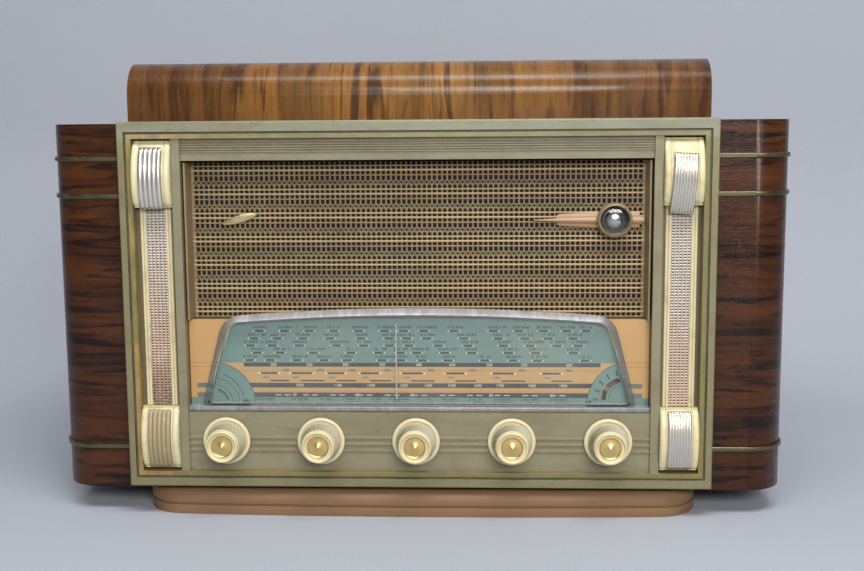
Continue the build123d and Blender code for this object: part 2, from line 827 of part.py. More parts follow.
# ---------------------------------------------------------------- wave-band indicator behind the card
indicator_reach = window_outer + fit_gap
with BuildPart() as band_indicator:
    arm_depth = (indicator_depth, indicator_depth + indicator_thickness)
    with BuildSketch(wall(arm_depth[1])):
        with Locations(Location((indicator_x, indicator_z, 0), indicator_rest_angle)):
            with Locations((indicator_reach / 2, 0)):
                Rectangle(indicator_reach, indicator_arm_width)
            Circle(indicator_hub)
    extrude(amount=indicator_thickness)
    hub_front = board_rear + indicator_hub_gap
    hub_rear = hub_front + indicator_hub_length
    rod(indicator_x, indicator_z, indicator_shaft, (indicator_depth, hub_rear))
    rod(indicator_x, indicator_z, indicator_hub, (hub_front, hub_rear))
finish(band_indicator, "band_indicator")

# ---------------------------------------------------------------- dial lamps
lamp_front = board_depth - lamp_nose
with BuildPart() as dial_lamps:
    for side in (-1, 1):
        turned(side * lamp_x, lamp_z, [
            (0, lamp_front),
            (lamp_tip_radius, lamp_front + lamp_tip),
            (lamp_radius, lamp_front + lamp_shoulder),
            (lamp_radius, board_rear),
            (lamp_radius + lamp_flange, board_rear),
            (lamp_radius + lamp_flange, board_rear + sheet),
            (lamp_socket_radius, board_rear + sheet),
            (lamp_socket_radius, board_rear + lamp_socket_length),
            (0, board_rear + lamp_socket_length),
        ])
finish(dial_lamps, "dial_lamps")

# ---------------------------------------------------------------- knobs, inlays and spindles
knob_names = ["tone", "volume", "aerial", "tuning", "band"]
flange_front = knob_back - knob_flange_thickness
inlay_floor = knob_face_depth + inlay_seat
for place, knob_name in enumerate(knob_names):
    with BuildPart() as knob:
        turned(knob_x(place), knob_z, [
            (knob_bore, knob_back),
            (knob_flange_radius, knob_back),
            (knob_flange_radius, flange_front),
            (knob_body_rear_radius, flange_front),
            (knob_body_front_radius, knob_cap_depth),
            (knob_cap_radius, knob_cap_depth),
            (knob_cap_radius, knob_face_depth + knob_cap_round),
            (knob_cap_radius - knob_cap_round, knob_face_depth),
            (inlay_radius, knob_face_depth),
            (inlay_radius, inlay_floor),
            (0, inlay_floor),
            (0, spindle_front),
            (knob_bore, spindle_front),
        ])
    finish(knob, "knob_" + knob_name)

    with BuildPart() as inlay:
        turned(knob_x(place), knob_z, [
            (0, inlay_floor),
            (inlay_radius - running_gap, inlay_floor),
            (inlay_radius - running_gap, inlay_floor - inlay_rise),
            (inlay_radius - inlay_rim, inlay_floor - inlay_rise),
            (inlay_core_radius, inlay_floor - inlay_core_rise),
            (0, inlay_floor - inlay_rim),
        ])
    finish(inlay, "inlay_" + knob_name)

    with BuildPart() as spindle:
        rod(knob_x(place), knob_z, spindle_radius, (spindle_front, spindle_rear))
    finish(spindle, "spindle_" + knob_name)

# ---------------------------------------------------------------- chassis: folded steel tray
front_wall = (chassis_front, chassis_front + sheet)
apron_front = chassis_rear - sheet
with BuildPart() as chassis:
    chassis_z = (chassis_bottom, chassis_top)
    block((-chassis_half, chassis_half), (chassis_front, chassis_rear), chassis_z)
    hollow_x = (-chassis_half + sheet, chassis_half - sheet)
    hollow_depth = (chassis_front + sheet, chassis_rear - sheet)
    block(hollow_x, hollow_depth, (chassis_bottom, chassis_top - sheet), Mode.SUBTRACT)
    for place in range(knob_count):
        rod(knob_x(place), knob_z, bush_hole, front_wall, Mode.SUBTRACT)
    grommet_hole = grommet_neck + running_gap
    rod(grommet_x, grommet_z, grommet_hole, (apron_front, chassis_rear), Mode.SUBTRACT)
finish(chassis, "chassis")

with BuildPart() as control_cans:
    for place in range(knob_count):
        rod(knob_x(place), knob_z, can_radius, (front_wall[1], can_rear))
        rod(knob_x(place), knob_z, bush_radius, (bush_front, front_wall[1]))
        bore = spindle_radius + running_gap
        rod(knob_x(place), knob_z, bore, (bush_front, can_rear), Mode.SUBTRACT)
finish(control_cans, "control_cans")

# ---------------------------------------------------------------- tuning capacitor, rotor and drum
with BuildPart() as tuning_capacitor:
    body_x = (capacitor_x - capacitor_width / 2, capacitor_x + capacitor_width / 2)
    end_top = capacitor_axis_z + vane_radius / 2
    base_z = (chassis_top, chassis_top + capacitor_plate)
    block(body_x, (capacitor_front, capacitor_rear + capacitor_plate), base_z)
    front_plate = (capacitor_front, capacitor_front + capacitor_plate)
    rear_plate = (capacitor_rear, capacitor_rear + capacitor_plate)
    block(body_x, front_plate, (chassis_top, end_top))
    block(body_x, rear_plate, (chassis_top, end_top))
    for vane in range(stator_count):
        vane_depth = front_plate[1] + (vane + 0.5) * stator_pitch + stator_pitch / 4
        vane_top = capacitor_axis_z - 2 * capacitor_shaft
        block(body_x, (vane_depth, vane_depth + vane_thickness), (chassis_top, vane_top))
    bore = capacitor_shaft + running_gap
    rod(capacitor_x, capacitor_axis_z, bore, (capacitor_front, rear_plate[1]), Mode.SUBTRACT)
finish(tuning_capacitor, "tuning_capacitor")

with BuildPart() as capacitor_rotor:
    rod(capacitor_x, capacitor_axis_z, capacitor_shaft, (drum_front, rear_plate[1] + shaft_overhang))
    for vane in range(stator_count):
        vane_depth = front_plate[1] + (vane + 1) * stator_pitch + stator_pitch / 4
        with BuildSketch(wall(vane_depth + vane_thickness)):
            with Locations((capacitor_x, capacitor_axis_z)):
                Circle(vane_radius)
                with Locations(Rotation(0, 0, -rotor_rest_angle)):
                    with Locations((0, vane_radius)):
                        Rectangle(2.2 * vane_radius, 2 * vane_radius, mode=Mode.SUBTRACT)
                Circle(2 * capacitor_shaft)
        extrude(amount=vane_thickness)
finish(capacitor_rotor, "capacitor_rotor")

with BuildPart() as tuning_drum:
    bore = capacitor_shaft + running_gap / 2
    turned(capacitor_x, capacitor_axis_z, [
        (bore, drum_front),
        (drum_radius, drum_front),
        (drum_radius, drum_front + drum_groove),
        (drum_radius - drum_groove, drum_front + drum_flange),
        (drum_radius - drum_groove, drum_rear - drum_flange),
        (drum_radius, drum_rear - drum_groove),
        (drum_radius, drum_rear),
        (bore, drum_rear),
    ])
finish(tuning_drum, "tuning_drum")

# ---------------------------------------------------------------- loudspeaker
cone_seat = speaker_hole + cone_seat_width
with BuildPart() as speaker_frame:
    turned(0, speaker_z, [
        (speaker_hole + cone_roll, board_rear + cone_flange),
        (cone_seat + basket_wall, board_rear + cone_flange),
        (cone_seat + basket_wall, board_rear),
        (speaker_radius, board_rear),
        (speaker_radius, board_rear + 2 * cone_flange),
        (speaker_hole + cone_taper, board_rear + 2 * cone_flange),
        (basket_rear_radius + basket_wall, basket_rear),
        (basket_rear_radius + basket_wall, magnet_rear),
        (0, magnet_rear),
        (0, basket_rear + basket_wall),
        (basket_rear_radius, basket_rear),
        (speaker_hole + basket_wall, board_rear + 3 * cone_flange),
    ])
finish(speaker_frame, "speaker_frame")

with BuildPart() as speaker_cone:
    turned(0, speaker_z, [
        (cone_seat, board_rear),
        (cone_seat, board_rear + cone_flange),
        (speaker_hole - cone_inset, board_rear + cone_flange),
        (voice_radius, cone_rear),
        (0, cone_rear - voice_radius / 3),
        (0, cone_rear - voice_radius / 3 - cone_wall),
        (voice_radius - cone_wall, cone_rear - 2 * cone_wall),
        (speaker_hole - cone_taper, board_rear),
    ])
finish(speaker_cone, "speaker_cone")

# ---------------------------------------------------------------- transformer, cans and valves
with BuildPart() as mains_transformer:
    core_x = (transformer_x - transformer_width / 2, transformer_x + transformer_width / 2)
    core_depth = (middle_row - transformer_length / 2, middle_row + transformer_length / 2)
    coil_x = (core_x[0] + coil_bulge, core_x[1] - coil_bulge)
    core_z = (chassis_top, chassis_top + transformer_height - coil_bulge)
    slim_depth = (core_depth[0] + coil_bulge, core_depth[1] - coil_bulge)
    block(core_x, slim_depth, core_z)
    coil_z = (chassis_top, chassis_top + transformer_height - 2 * coil_bulge)
    block(coil_x, core_depth, coil_z)
finish(mains_transformer, "mains_transformer")

with BuildPart() as screen_cans:
    for side in (-1, 1):
        middle_x = side * screen_can_x
        can_x = (middle_x - screen_can_size / 2, middle_x + screen_can_size / 2)
        can_depth = (middle_row - screen_can_size / 2, middle_row + screen_can_size / 2)
        block(can_x, can_depth, (chassis_top, chassis_top + screen_can_height))
finish(screen_cans, "screen_cans")

with BuildPart() as valves:
    for number in range(valve_count):
        valve_x = valve_first_x + number * valve_pitch
        valve_bottom = (valve_x, front_y + rear_row, chassis_top)
        with BuildSketch(Plane(origin=valve_bottom, x_dir=(1, 0, 0), z_dir=(0, -1, 0))) as valve_half:
            with BuildLine():
                glass_top = valve_height - valve_radius / 2
                Polyline(
                    (0, 0),
                    (valve_radius + valve_base_rim, 0),
                    (valve_radius + valve_base_rim, valve_base_height),
                    (valve_radius, valve_base_height),
                    (valve_radius, glass_top),
                    (valve_crown_radius, valve_height - valve_crown),
                    (0, valve_height),
                    close=True,
                )
            make_face()
        revolve(axis=Axis(valve_bottom, (0, 0, 1)))
finish(valves, "valves")

# ---------------------------------------------------------------- rear sockets and mains grommet
socket_rear = chassis_rear + socket_length
socket_places = []
with BuildPart() as rear_sockets:
    for number in range(socket_count):
        hole_x = socket_x + (number - (socket_count - 1) / 2) * socket_pitch
        socket_places.append(hole_x)
        turned(hole_x, socket_z, [
            (socket_hole, chassis_rear),
            (socket_flange, chassis_rear),
            (socket_flange, chassis_rear + sheet),
            (socket_radius, chassis_rear + sheet),
            (socket_radius, socket_rear),
            (socket_hole, socket_rear),
        ])
finish(rear_sockets, "rear_sockets")

with BuildPart() as mains_grommet:
    turned(grommet_x, grommet_z, [
        (grommet_bore, apron_front - grommet_lip),
        (grommet_flange, apron_front - grommet_lip),
        (grommet_flange, apron_front),
        (grommet_neck, apron_front),
        (grommet_neck, chassis_rear),
        (grommet_flange, chassis_rear),
        (grommet_flange, chassis_rear + grommet_lip),
        (grommet_bore, chassis_rear + grommet_lip),
    ])
finish(mains_grommet, "mains_grommet")

# ---------------------------------------------------------------- back cover: pressed board with vents, cut away below
cover_half = wing_outer_x - cover_inset
cover_step_half = wing_inner_x - cover_inset
cover_low = floor_z + cover_inset
cover_shoulder = wing_top - cover_inset
cover_top = hood_top - cover_inset
cover_thickness = cover_rear - rear_depth
vent_middle_z = (chassis_top + cover_shoulder) / 2 - vent_drop
with BuildPart() as back_cover:
    block((-cover_half, cover_half), (rear_depth, cover_rear), (cover_low, cover_shoulder))
    step_z = (cover_shoulder - ply, cover_top)
    block((-cover_step_half, cover_step_half), (rear_depth, cover_rear), step_z)
    apron_half = chassis_half + apron_margin
    apron_x = (-apron_half, apron_half)
    apron_top = socket_z + apron_rise / 2
    block(apron_x, (rear_depth, cover_rear), (cover_low, apron_top), Mode.SUBTRACT)
    with BuildSketch(wall(cover_rear)):
        with Locations((0, vent_middle_z)):
            vent_pitch_x = 2 * chassis_half / vent_columns
            vent_pitch_z = (cover_shoulder - chassis_top - 2 * vent_margin) / (vent_rows - 1)
            with GridLocations(vent_pitch_x, vent_pitch_z, vent_columns, vent_rows):
                SlotOverall(vent_length, vent_width)
    extrude(amount=cover_thickness, mode=Mode.SUBTRACT)
finish(back_cover, "back_cover")

screw_places = []
for side in (-1, 1):
    low_x = side * (cover_half - screw_margin)
    screw_places.append((low_x, cover_low + screw_margin))
    screw_places.append((low_x, (cover_low + cover_shoulder) / 2))
    screw_places.append((low_x, cover_shoulder - screw_margin))
    screw_places.append((side * (cover_step_half - screw_margin), cover_top - screw_margin))
with BuildPart() as back_screws:
    for screw_x, screw_z in screw_places:
        rod(screw_x, screw_z, screw_head, (cover_rear, overall_depth))
        slot_range = (overall_depth - screw_slot_depth, overall_depth)
        slot_x = (screw_x - screw_head, screw_x + screw_head)
        block(slot_x, slot_range, (screw_z - screw_slot_half, screw_z + screw_slot_half), Mode.SUBTRACT)
finish(back_screws, "back_screws")
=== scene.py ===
"""Finish and fine pieces for a nineteen-fifties table radio, built around its fixed frame."""

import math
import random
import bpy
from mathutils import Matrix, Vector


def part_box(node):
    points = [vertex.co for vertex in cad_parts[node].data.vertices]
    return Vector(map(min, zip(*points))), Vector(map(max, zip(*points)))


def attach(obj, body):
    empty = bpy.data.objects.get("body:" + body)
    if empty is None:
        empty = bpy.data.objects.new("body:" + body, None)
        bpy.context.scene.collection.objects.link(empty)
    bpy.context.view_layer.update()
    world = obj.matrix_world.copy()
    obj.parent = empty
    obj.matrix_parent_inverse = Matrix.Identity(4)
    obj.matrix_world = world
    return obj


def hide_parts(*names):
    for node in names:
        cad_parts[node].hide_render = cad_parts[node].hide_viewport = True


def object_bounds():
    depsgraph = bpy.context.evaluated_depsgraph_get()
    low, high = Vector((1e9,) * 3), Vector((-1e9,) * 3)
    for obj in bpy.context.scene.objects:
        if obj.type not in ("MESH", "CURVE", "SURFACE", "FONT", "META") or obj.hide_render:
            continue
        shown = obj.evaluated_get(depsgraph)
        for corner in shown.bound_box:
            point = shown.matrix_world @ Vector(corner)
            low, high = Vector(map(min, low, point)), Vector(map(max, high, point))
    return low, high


bl_info = {
    "name": "Table Radio",
    "version": (1, 0, 0),
    "blender": (4, 5, 0),
    "location": "View3D > Sidebar > Table Radio",
    "description": "Builds the finishes and fine pieces of a table radio around its frame",
    "category": "Object",
}

import bpy
from bpy.props import FloatProperty, FloatVectorProperty, IntProperty, PointerProperty
from mathutils import Matrix, Vector

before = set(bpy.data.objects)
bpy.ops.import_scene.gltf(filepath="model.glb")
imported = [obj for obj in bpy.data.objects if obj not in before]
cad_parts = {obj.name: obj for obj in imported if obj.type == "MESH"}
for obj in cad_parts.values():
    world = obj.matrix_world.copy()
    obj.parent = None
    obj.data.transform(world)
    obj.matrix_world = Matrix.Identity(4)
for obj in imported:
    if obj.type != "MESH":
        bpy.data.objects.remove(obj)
cad_low, cad_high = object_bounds()

MM = 0.001
KNOB_NAMES = ("tone", "volume", "aerial", "tuning", "band")


# ------------------------------------------------------------------ what a user would change
def colour(name, description, default):
    """A colour setting."""
    return FloatVectorProperty(
        name=name, description=description, default=default, size=3, subtype="COLOR", min=0, max=1
    )


def length(name, description, default):
    """A length setting, in metres."""
    return FloatProperty(name=name, description=description, default=default, unit="LENGTH", min=0)


class RadioSizes(bpy.types.PropertyGroup):
    """Sizes of the fine pieces."""

    grille_pitch: length("Grille pitch", "Distance between the upright bars of the grille", 0.0039)
    grille_repeat: length("Grille repeat", "Height after which the rows of the grille repeat", 0.0182)
    grille_bar: length("Grille bar", "Width of an upright bar of the grille", 0.0012)
    grille_first: length("First row", "Drop from the top of the opening to the first square row", 0.0138)
    tray_slope: length("Tray slope", "How far the side walls of the grille lean in", 0.0032)
    clip_radius: length("Clip radius", "Radius of the round front of a clip", 0.048)
    rib_height: length("Rib height", "Height of the ribs on the plates", 0.0013)
    ribbon_column: length("Ribbon column", "Distance between the upright bands of the ribbon", 0.0031)
    ribbon_edge: length("Ribbon edge", "Width of a rolled edge of the ribbon", 0.0046)
    ribbon_row: length("Ribbon row", "Distance between the cross threads of the ribbon", 0.0022)
    knob_flutes: IntProperty(name="Knob flutes", description="Flutes round a knob", default=54, min=8)
    flute_depth: length("Flute depth", "Depth of the flutes of a knob", 0.0010)
    flute_twist: FloatProperty(
        name="Flute twist", description="How far the flutes wind round", default=0.35, subtype="ANGLE"
    )
    edge_radius: length("Edge radius", "How much the sharp edges are eased", 0.0006)


class RadioColours(bpy.types.PropertyGroup):
    """Colours of the finishes."""

    wing_dark: colour("Wing, dark", "Black streaks of the wing veneer", (0.006, 0.003, 0.002))
    wing_light: colour("Wing, light", "Red-brown of the wing veneer", (0.085, 0.026, 0.007))
    hood_dark: colour("Hood, dark", "Streaks of the hood veneer", (0.040, 0.014, 0.005))
    hood_light: colour("Hood, light", "Golden brown of the hood veneer", (0.33, 0.148, 0.028))
    plinth_dark: colour("Plinth, dark", "Grain and dirt of the plinth", (0.040, 0.022, 0.010))
    plinth_light: colour("Plinth, light", "Worn wood of the plinth", (0.27, 0.150, 0.045))
    paint: colour("Paint", "Khaki paint of the front", (0.236, 0.233, 0.152))
    bead: colour("Bead", "Green-khaki bead of the front", (0.205, 0.195, 0.090))
    gold_wear: colour("Gold wear", "Gold that shows where paint has worn", (0.42, 0.29, 0.12))
    # This colour darkens the groove band and is also the painted shade in the front's crevices.
    groove: colour("Groove", "Dirt in the grooves of the front", (0.045, 0.035, 0.020))
    grille: colour("Grille", "Brown-gold of the grille", (0.33, 0.235, 0.120))
    ivory: colour("Ivory", "Ivory of the knobs and clips", (0.70, 0.62, 0.37))
    ivory_stain: colour("Ivory stain", "Stains on the ivory", (0.34, 0.24, 0.10))
    teal: colour("Teal", "Teal of the dial", (0.138, 0.222, 0.193))
    orange: colour("Orange", "Orange of the dial", (0.500, 0.290, 0.110))
    ink: colour("Ink", "Dark ink of the dial", (0.030, 0.034, 0.038))
    cream: colour("Cream", "Light ink of the dial", (0.70, 0.63, 0.45))
    gold: colour("Gold", "Gold of the knob inlays", (0.95, 0.74, 0.34))
    chrome: colour("Chrome", "Bright metal of the plates", (0.80, 0.76, 0.68))
    backdrop: colour("Backdrop", "Pale cloth round the radio", (0.42, 0.44, 0.49))


def sizes():
    """The sizes that the user can change."""
    return bpy.context.scene.radio_sizes


def colours():
    """The colours that the user can change."""
    return bpy.context.scene.radio_colours


# ------------------------------------------------------------------ shader building blocks
def put(tree, kind, settings=None, inputs=None):
    """Adds a node, with its settings and with its inputs joined or set."""
    node = tree.nodes.new("ShaderNode" + kind)
    for name, value in (settings or {}).items():
        setattr(node, name, value)
    for name, value in (inputs or {}).items():
        if isinstance(value, bpy.types.NodeSocket):
            tree.links.new(value, node.inputs[name])
        else:
            node.inputs[name].default_value = value
    return node


def rgba(value):
    """A colour with full opacity."""
    return (*value[:3], 1.0)


def maths(tree, operation, *values, clamp=False):
    """A maths node on numbers or sockets."""
    settings = {"operation": operation, "use_clamp": clamp}
    return put(tree, "Math", settings, dict(enumerate(values))).outputs[0]


def blend(tree, factor, first, second, way="MIX"):
    """Mixes two colours."""
    node = put(tree, "Mix", {"data_type": "RGBA", "blend_type": way})
    for number, value in ((0, factor), (6, first), (7, second)):
        if isinstance(value, bpy.types.NodeSocket):
            tree.links.new(value, node.inputs[number])
        elif number == 0:
            node.inputs[number].default_value = value
        else:
            node.inputs[number].default_value = rgba(value)
    return node.outputs[2]


def noise(tree, vector, scale, detail=3.0, roughness=0.55, distortion=0.0):
    """Noise from about 0.3 to 0.7."""
    inputs = {
        "Vector": vector,
        "Scale": scale,
        "Detail": detail,
        "Roughness": roughness,
        "Distortion": distortion,
    }
    return put(tree, "TexNoise", None, inputs).outputs["Fac"]


def spread(tree, value, low, high, to_low=0.0, to_high=1.0):
    """Maps a value from one range onto another, held at the ends."""
    inputs = {"Value": value, "From Min": low, "From Max": high, "To Min": to_low, "To Max": to_high}
    return put(tree, "MapRange", {"clamp": True}, inputs).outputs[0]


def place(tree):
    """Position on the piece, in metres."""
    return put(tree, "TexCoord").outputs["Object"]


def stretch(tree, vector, scale):
    """Scales a place along each direction."""
    return put(tree, "Mapping", None, {"Vector": vector, "Scale": scale}).outputs[0]


def split(tree, vector):
    """The x, y and z of a vector."""
    node = put(tree, "SeparateXYZ", None, {0: vector})
    return node.outputs[0], node.outputs[1], node.outputs[2]


def bump(tree, height, depth, normal=None):
    """A normal from a height that runs from nought to one, depth in metres."""
    inputs = {"Strength": 1.0, "Distance": depth, "Height": height}
    if normal is not None:
        inputs["Normal"] = normal
    return put(tree, "Bump", None, inputs).outputs[0]


def new_group(name, inputs, outputs):
    """An empty shader group with named sockets."""
    tree = bpy.data.node_groups.new(name, "ShaderNodeTree")
    for label, kind, value in inputs:
        socket = tree.interface.new_socket(label, in_out="INPUT", socket_type="NodeSocket" + kind)
        socket.default_value = value
    for label, kind in outputs:
        tree.interface.new_socket(label, in_out="OUTPUT", socket_type="NodeSocket" + kind)
    return tree, tree.nodes.new("NodeGroupInput"), tree.nodes.new("NodeGroupOutput")


def wood_figure():
    """Grain, dark streaks and pores, for a position stretched along the grain."""
    inputs = [("Vector", "Vector", (0, 0, 0)), ("Streaks", "Float", 0.5)]
    outputs = [("Figure", "Float"), ("Streak", "Float"), ("Pore", "Float")]
    tree, start, end = new_group("Wood figure", inputs, outputs)
    vector = start.outputs["Vector"]
    broad = noise(tree, vector, 1.0, 4.0, 0.55, 0.8)
    fine = noise(tree, vector, 5.5, 3.0, 0.6, 0.3)
    figure = maths(tree, "ADD", maths(tree, "MULTIPLY", broad, 0.68), maths(tree, "MULTIPLY", fine, 0.32))
    tree.links.new(spread(tree, figure, 0.32, 0.66), end.inputs["Figure"])
    veins = noise(tree, stretch(tree, vector, (0.75, 0.75, 0.75)), 2.3, 5.0, 0.6, 1.2)
    level = spread(tree, start.outputs["Streaks"], 0.0, 1.0, 0.72, 0.42)
    edge = maths(tree, "ADD", level, 0.12)
    node = put(tree, "MapRange", {"clamp": True}, {"Value": veins, "From Min": level, "From Max": edge})
    tree.links.new(node.outputs[0], end.inputs["Streak"])
    pore = noise(tree, vector, 26.0, 2.0, 0.7)
    tree.links.new(spread(tree, pore, 0.45, 0.75), end.inputs["Pore"])
    return tree


def edge_wear():
    """Mask of the sharp edges, broken up as rubbing breaks it."""
    inputs = [("Width", "Float", 0.001), ("Break up", "Float", 60.0)]
    tree, start, end = new_group("Edge wear", inputs, [("Mask", "Float")])
    rounded = put(tree, "Bevel", {"samples": 4}, {"Radius": start.outputs["Width"]}).outputs[0]
    plain = put(tree, "NewGeometry").outputs["Normal"]
    alike = put(tree, "VectorMath", {"operation": "DOT_PRODUCT"}, {0: rounded, 1: plain}).outputs["Value"]
    edge = spread(tree, alike, 0.99, 0.86)
    rubbed = put(
        tree, "TexNoise", None,
        {"Vector": place(tree), "Scale": start.outputs["Break up"], "Detail": 4.0},
    ).outputs["Fac"]
    tree.links.new(maths(tree, "MULTIPLY", edge, spread(tree, rubbed, 0.42, 0.62)), end.inputs["Mask"])
    return tree


def dust():
    """Mask of dust that has settled on what faces up."""
    inputs = [("Amount", "Float", 0.5), ("Scale", "Float", 40.0)]
    tree, start, end = new_group("Dust", inputs, [("Mask", "Float")])
    upward = split(tree, put(tree, "NewGeometry").outputs["Normal"])[2]
    patches = put(
        tree, "TexNoise", None,
        {"Vector": place(tree), "Scale": start.outputs["Scale"], "Detail": 5.0, "Roughness": 0.65},
    ).outputs["Fac"]
    lying = maths(tree, "MULTIPLY", spread(tree, upward, 0.35, 0.95), spread(tree, patches, 0.35, 0.7))
    tree.links.new(maths(tree, "MULTIPLY", lying, start.outputs["Amount"]), end.inputs["Mask"])
    return tree


def speckle():
    """Fine mottling of paint, plastic and print, with a height to match."""
    inputs = [("Scale", "Float", 300.0), ("Contrast", "Float", 0.2)]
    tree, start, end = new_group("Speckle", inputs, [("Shade", "Float"), ("Height", "Float")])
    where = place(tree)
    fine = put(
        tree, "TexNoise", None, {"Vector": where, "Scale": start.outputs["Scale"], "Detail": 3.0}
    ).outputs["Fac"]
    wide = noise(tree, where, 14.0, 4.0, 0.6, 0.4)
    both = maths(tree, "ADD", maths(tree, "MULTIPLY", fine, 0.4), maths(tree, "MULTIPLY", wide, 0.6))
    swing = maths(tree, "MULTIPLY", maths(tree, "SUBTRACT", both, 0.5), start.outputs["Contrast"])
    tree.links.new(maths(tree, "ADD", swing, 1.0), end.inputs["Shade"])
    tree.links.new(fine, end.inputs["Height"])
    return tree


def weave():
    """Plain weave seen from the front: thread height and gaps."""
    tree, start, end = new_group(
        "Weave", [("Pitch", "Float", 0.0008)], [("Thread", "Float"), ("Gap", "Float")]
    )
    x, y, z = split(tree, place(tree))
    turns = maths(tree, "DIVIDE", math.pi, start.outputs["Pitch"])
    across = maths(tree, "ABSOLUTE", maths(tree, "SINE", maths(tree, "MULTIPLY", x, turns)))
    upright = maths(tree, "ABSOLUTE", maths(tree, "SINE", maths(tree, "MULTIPLY", z, turns)))
    both = maths(tree, "MAXIMUM", across, upright)
    tree.links.new(both, end.inputs["Thread"])
    tree.links.new(spread(tree, both, 0.75, 0.55), end.inputs["Gap"])
    return tree


def spun_rings():
    """Fine turned rings round the piece's own front-to-back axis, with a swirl across them."""
    inputs = [("Pitch", "Float", 0.0004), ("Rays", "Float", 40.0)]
    tree, start, end = new_group("Spun rings", inputs, [("Ring", "Float"), ("Ray", "Float")])
    x, y, z = split(tree, place(tree))
    squares = maths(tree, "ADD", maths(tree, "MULTIPLY", x, x), maths(tree, "MULTIPLY", z, z))
    reach = maths(tree, "SQRT", squares)
    turns = maths(tree, "DIVIDE", 2 * math.pi, start.outputs["Pitch"])
    ring = maths(tree, "SINE", maths(tree, "MULTIPLY", reach, turns))
    tree.links.new(spread(tree, ring, -1, 1), end.inputs["Ring"])
    angle = maths(tree, "ARCTAN2", z, x)
    swept = maths(tree, "ADD", maths(tree, "MULTIPLY", angle, start.outputs["Rays"]),
                  maths(tree, "MULTIPLY", reach, 900.0))
    tree.links.new(spread(tree, maths(tree, "SINE", swept), -1, 1), end.inputs["Ray"])
    return tree


def effect(tree, make, inputs=None):
    """Places a shared shader group, built the first time it is asked for."""
    label = make.__name__.replace("_", " ").capitalize()
    made = bpy.data.node_groups.get(label) or make()
    node = tree.nodes.new("ShaderNodeGroup")
    node.node_tree = made
    for name, value in (inputs or {}).items():
        if isinstance(value, bpy.types.NodeSocket):
            tree.links.new(value, node.inputs[name])
        else:
            node.inputs[name].default_value = value
    return node.outputs


def start_finish(name):
    """A material with an empty node tree, or None for the tree if it is made already."""
    made = bpy.data.materials.get(name)
    if made:
        return made, None
    made = bpy.data.materials.new(name)
    made.use_nodes = True
    made.node_tree.nodes.clear()
    return made, made.node_tree


def close_finish(tree, inputs):
    """The surface shader and the output."""
    shader = put(tree, "BsdfPrincipled", None, inputs)
    put(tree, "OutputMaterial", None, {"Surface": shader.outputs[0]})


# ------------------------------------------------------------------ finishes
def veneer(name, dark, light, grain, streaks, golden=None):
    """Glossy lacquered veneer. grain is the stretch of the figure along each direction."""
    made, tree = start_finish(name)
    if tree is None:
        return made
    where = place(tree)
    wood = effect(tree, wood_figure, {"Vector": stretch(tree, where, grain), "Streaks": streaks})
    base = blend(tree, wood["Figure"], [0.35 * d + 0.3 * l for d, l in zip(dark, light)], light)
    if golden:
        side = maths(tree, "ABSOLUTE", maths(tree, "SUBTRACT", split(tree, where)[0], golden))
        middle = spread(tree, side, 0.17, 0.03, 0.0, 1.0)
        base = blend(tree, middle, blend(tree, 1.0, base, (0.50, 0.44, 0.50), "MULTIPLY"), base)
    base = blend(tree, maths(tree, "MULTIPLY", wood["Streak"], 0.88), base, dark)
    base = blend(tree, maths(tree, "MULTIPLY", wood["Pore"], 0.35), base, dark)
    worn = effect(tree, edge_wear, {"Width": 0.0012, "Break up": 70.0})
    base = blend(tree, maths(tree, "MULTIPLY", worn["Mask"], 0.5), base, [1.4 * c for c in light])
    settled = effect(tree, dust, {"Amount": 0.12, "Scale": 55.0})
    base = blend(tree, settled["Mask"], base, (0.30, 0.27, 0.23))
    rough = spread(tree, noise(tree, where, 35.0, 4.0), 0.3, 0.7, 0.20, 0.34)
    close_finish(tree, {
        "Base Color": base,
        "Roughness": rough,
        "Specular IOR Level": 0.22,
        "Coat Weight": 0.12,
        "Coat Roughness": 0.08,
        "Normal": bump(tree, wood["Pore"], -0.00006),
    })
    return made


def wing_veneer():
    """Dark veneer with level grain."""
    c = colours()
    return veneer("wing_veneer", c.wing_dark, c.wing_light, (6.0, 6.0, 62.0), 0.78)


def hood_veneer():
    """Golden veneer with upright grain, lighter in the middle."""
    c = colours()
    return veneer("hood_veneer", c.hood_dark, c.hood_light, (44.0, 4.0, 4.0), 0.72, golden=0.005)


def plinth_wood():
    """Worn moulded wood with dirt in its grooves."""
    made, tree = start_finish("plinth_wood")
    if tree is None:
        return made
    c = colours()
    where = place(tree)
    wood = effect(tree, wood_figure, {"Vector": stretch(tree, where, (9.0, 60.0, 90.0)), "Streaks": 0.5})
    base = blend(tree, wood["Figure"], [0.45 * v for v in c.plinth_light], c.plinth_light)
    base = blend(tree, maths(tree, "MULTIPLY", wood["Streak"], 0.8), base, c.plinth_dark)
    rubbed = spread(tree, noise(tree, stretch(tree, where, (1.0, 3.0, 3.0)), 38.0, 5.0, 0.7), 0.42, 0.60)
    base = blend(tree, maths(tree, "MULTIPLY", rubbed, 0.5), base, c.plinth_dark)
    height = split(tree, where)[2]
    line = maths(tree, "ABSOLUTE", maths(tree, "SUBTRACT", height, 0.0092))
    gilt = spread(tree, line, 0.0016, 0.0008)
    base = blend(tree, maths(tree, "MULTIPLY", gilt, 0.55), base, c.gold_wear)
    worn = effect(tree, edge_wear, {"Width": 0.002, "Break up": 45.0})
    base = blend(tree, maths(tree, "MULTIPLY", worn["Mask"], 0.7), base, (0.40, 0.27, 0.12))
    close_finish(tree, {
        "Base Color": base,
        "Roughness": spread(tree, rubbed, 0.0, 1.0, 0.34, 0.62),
        "Coat Weight": 0.15,
        "Normal": bump(tree, wood["Pore"], -0.0001),
    })
    return made


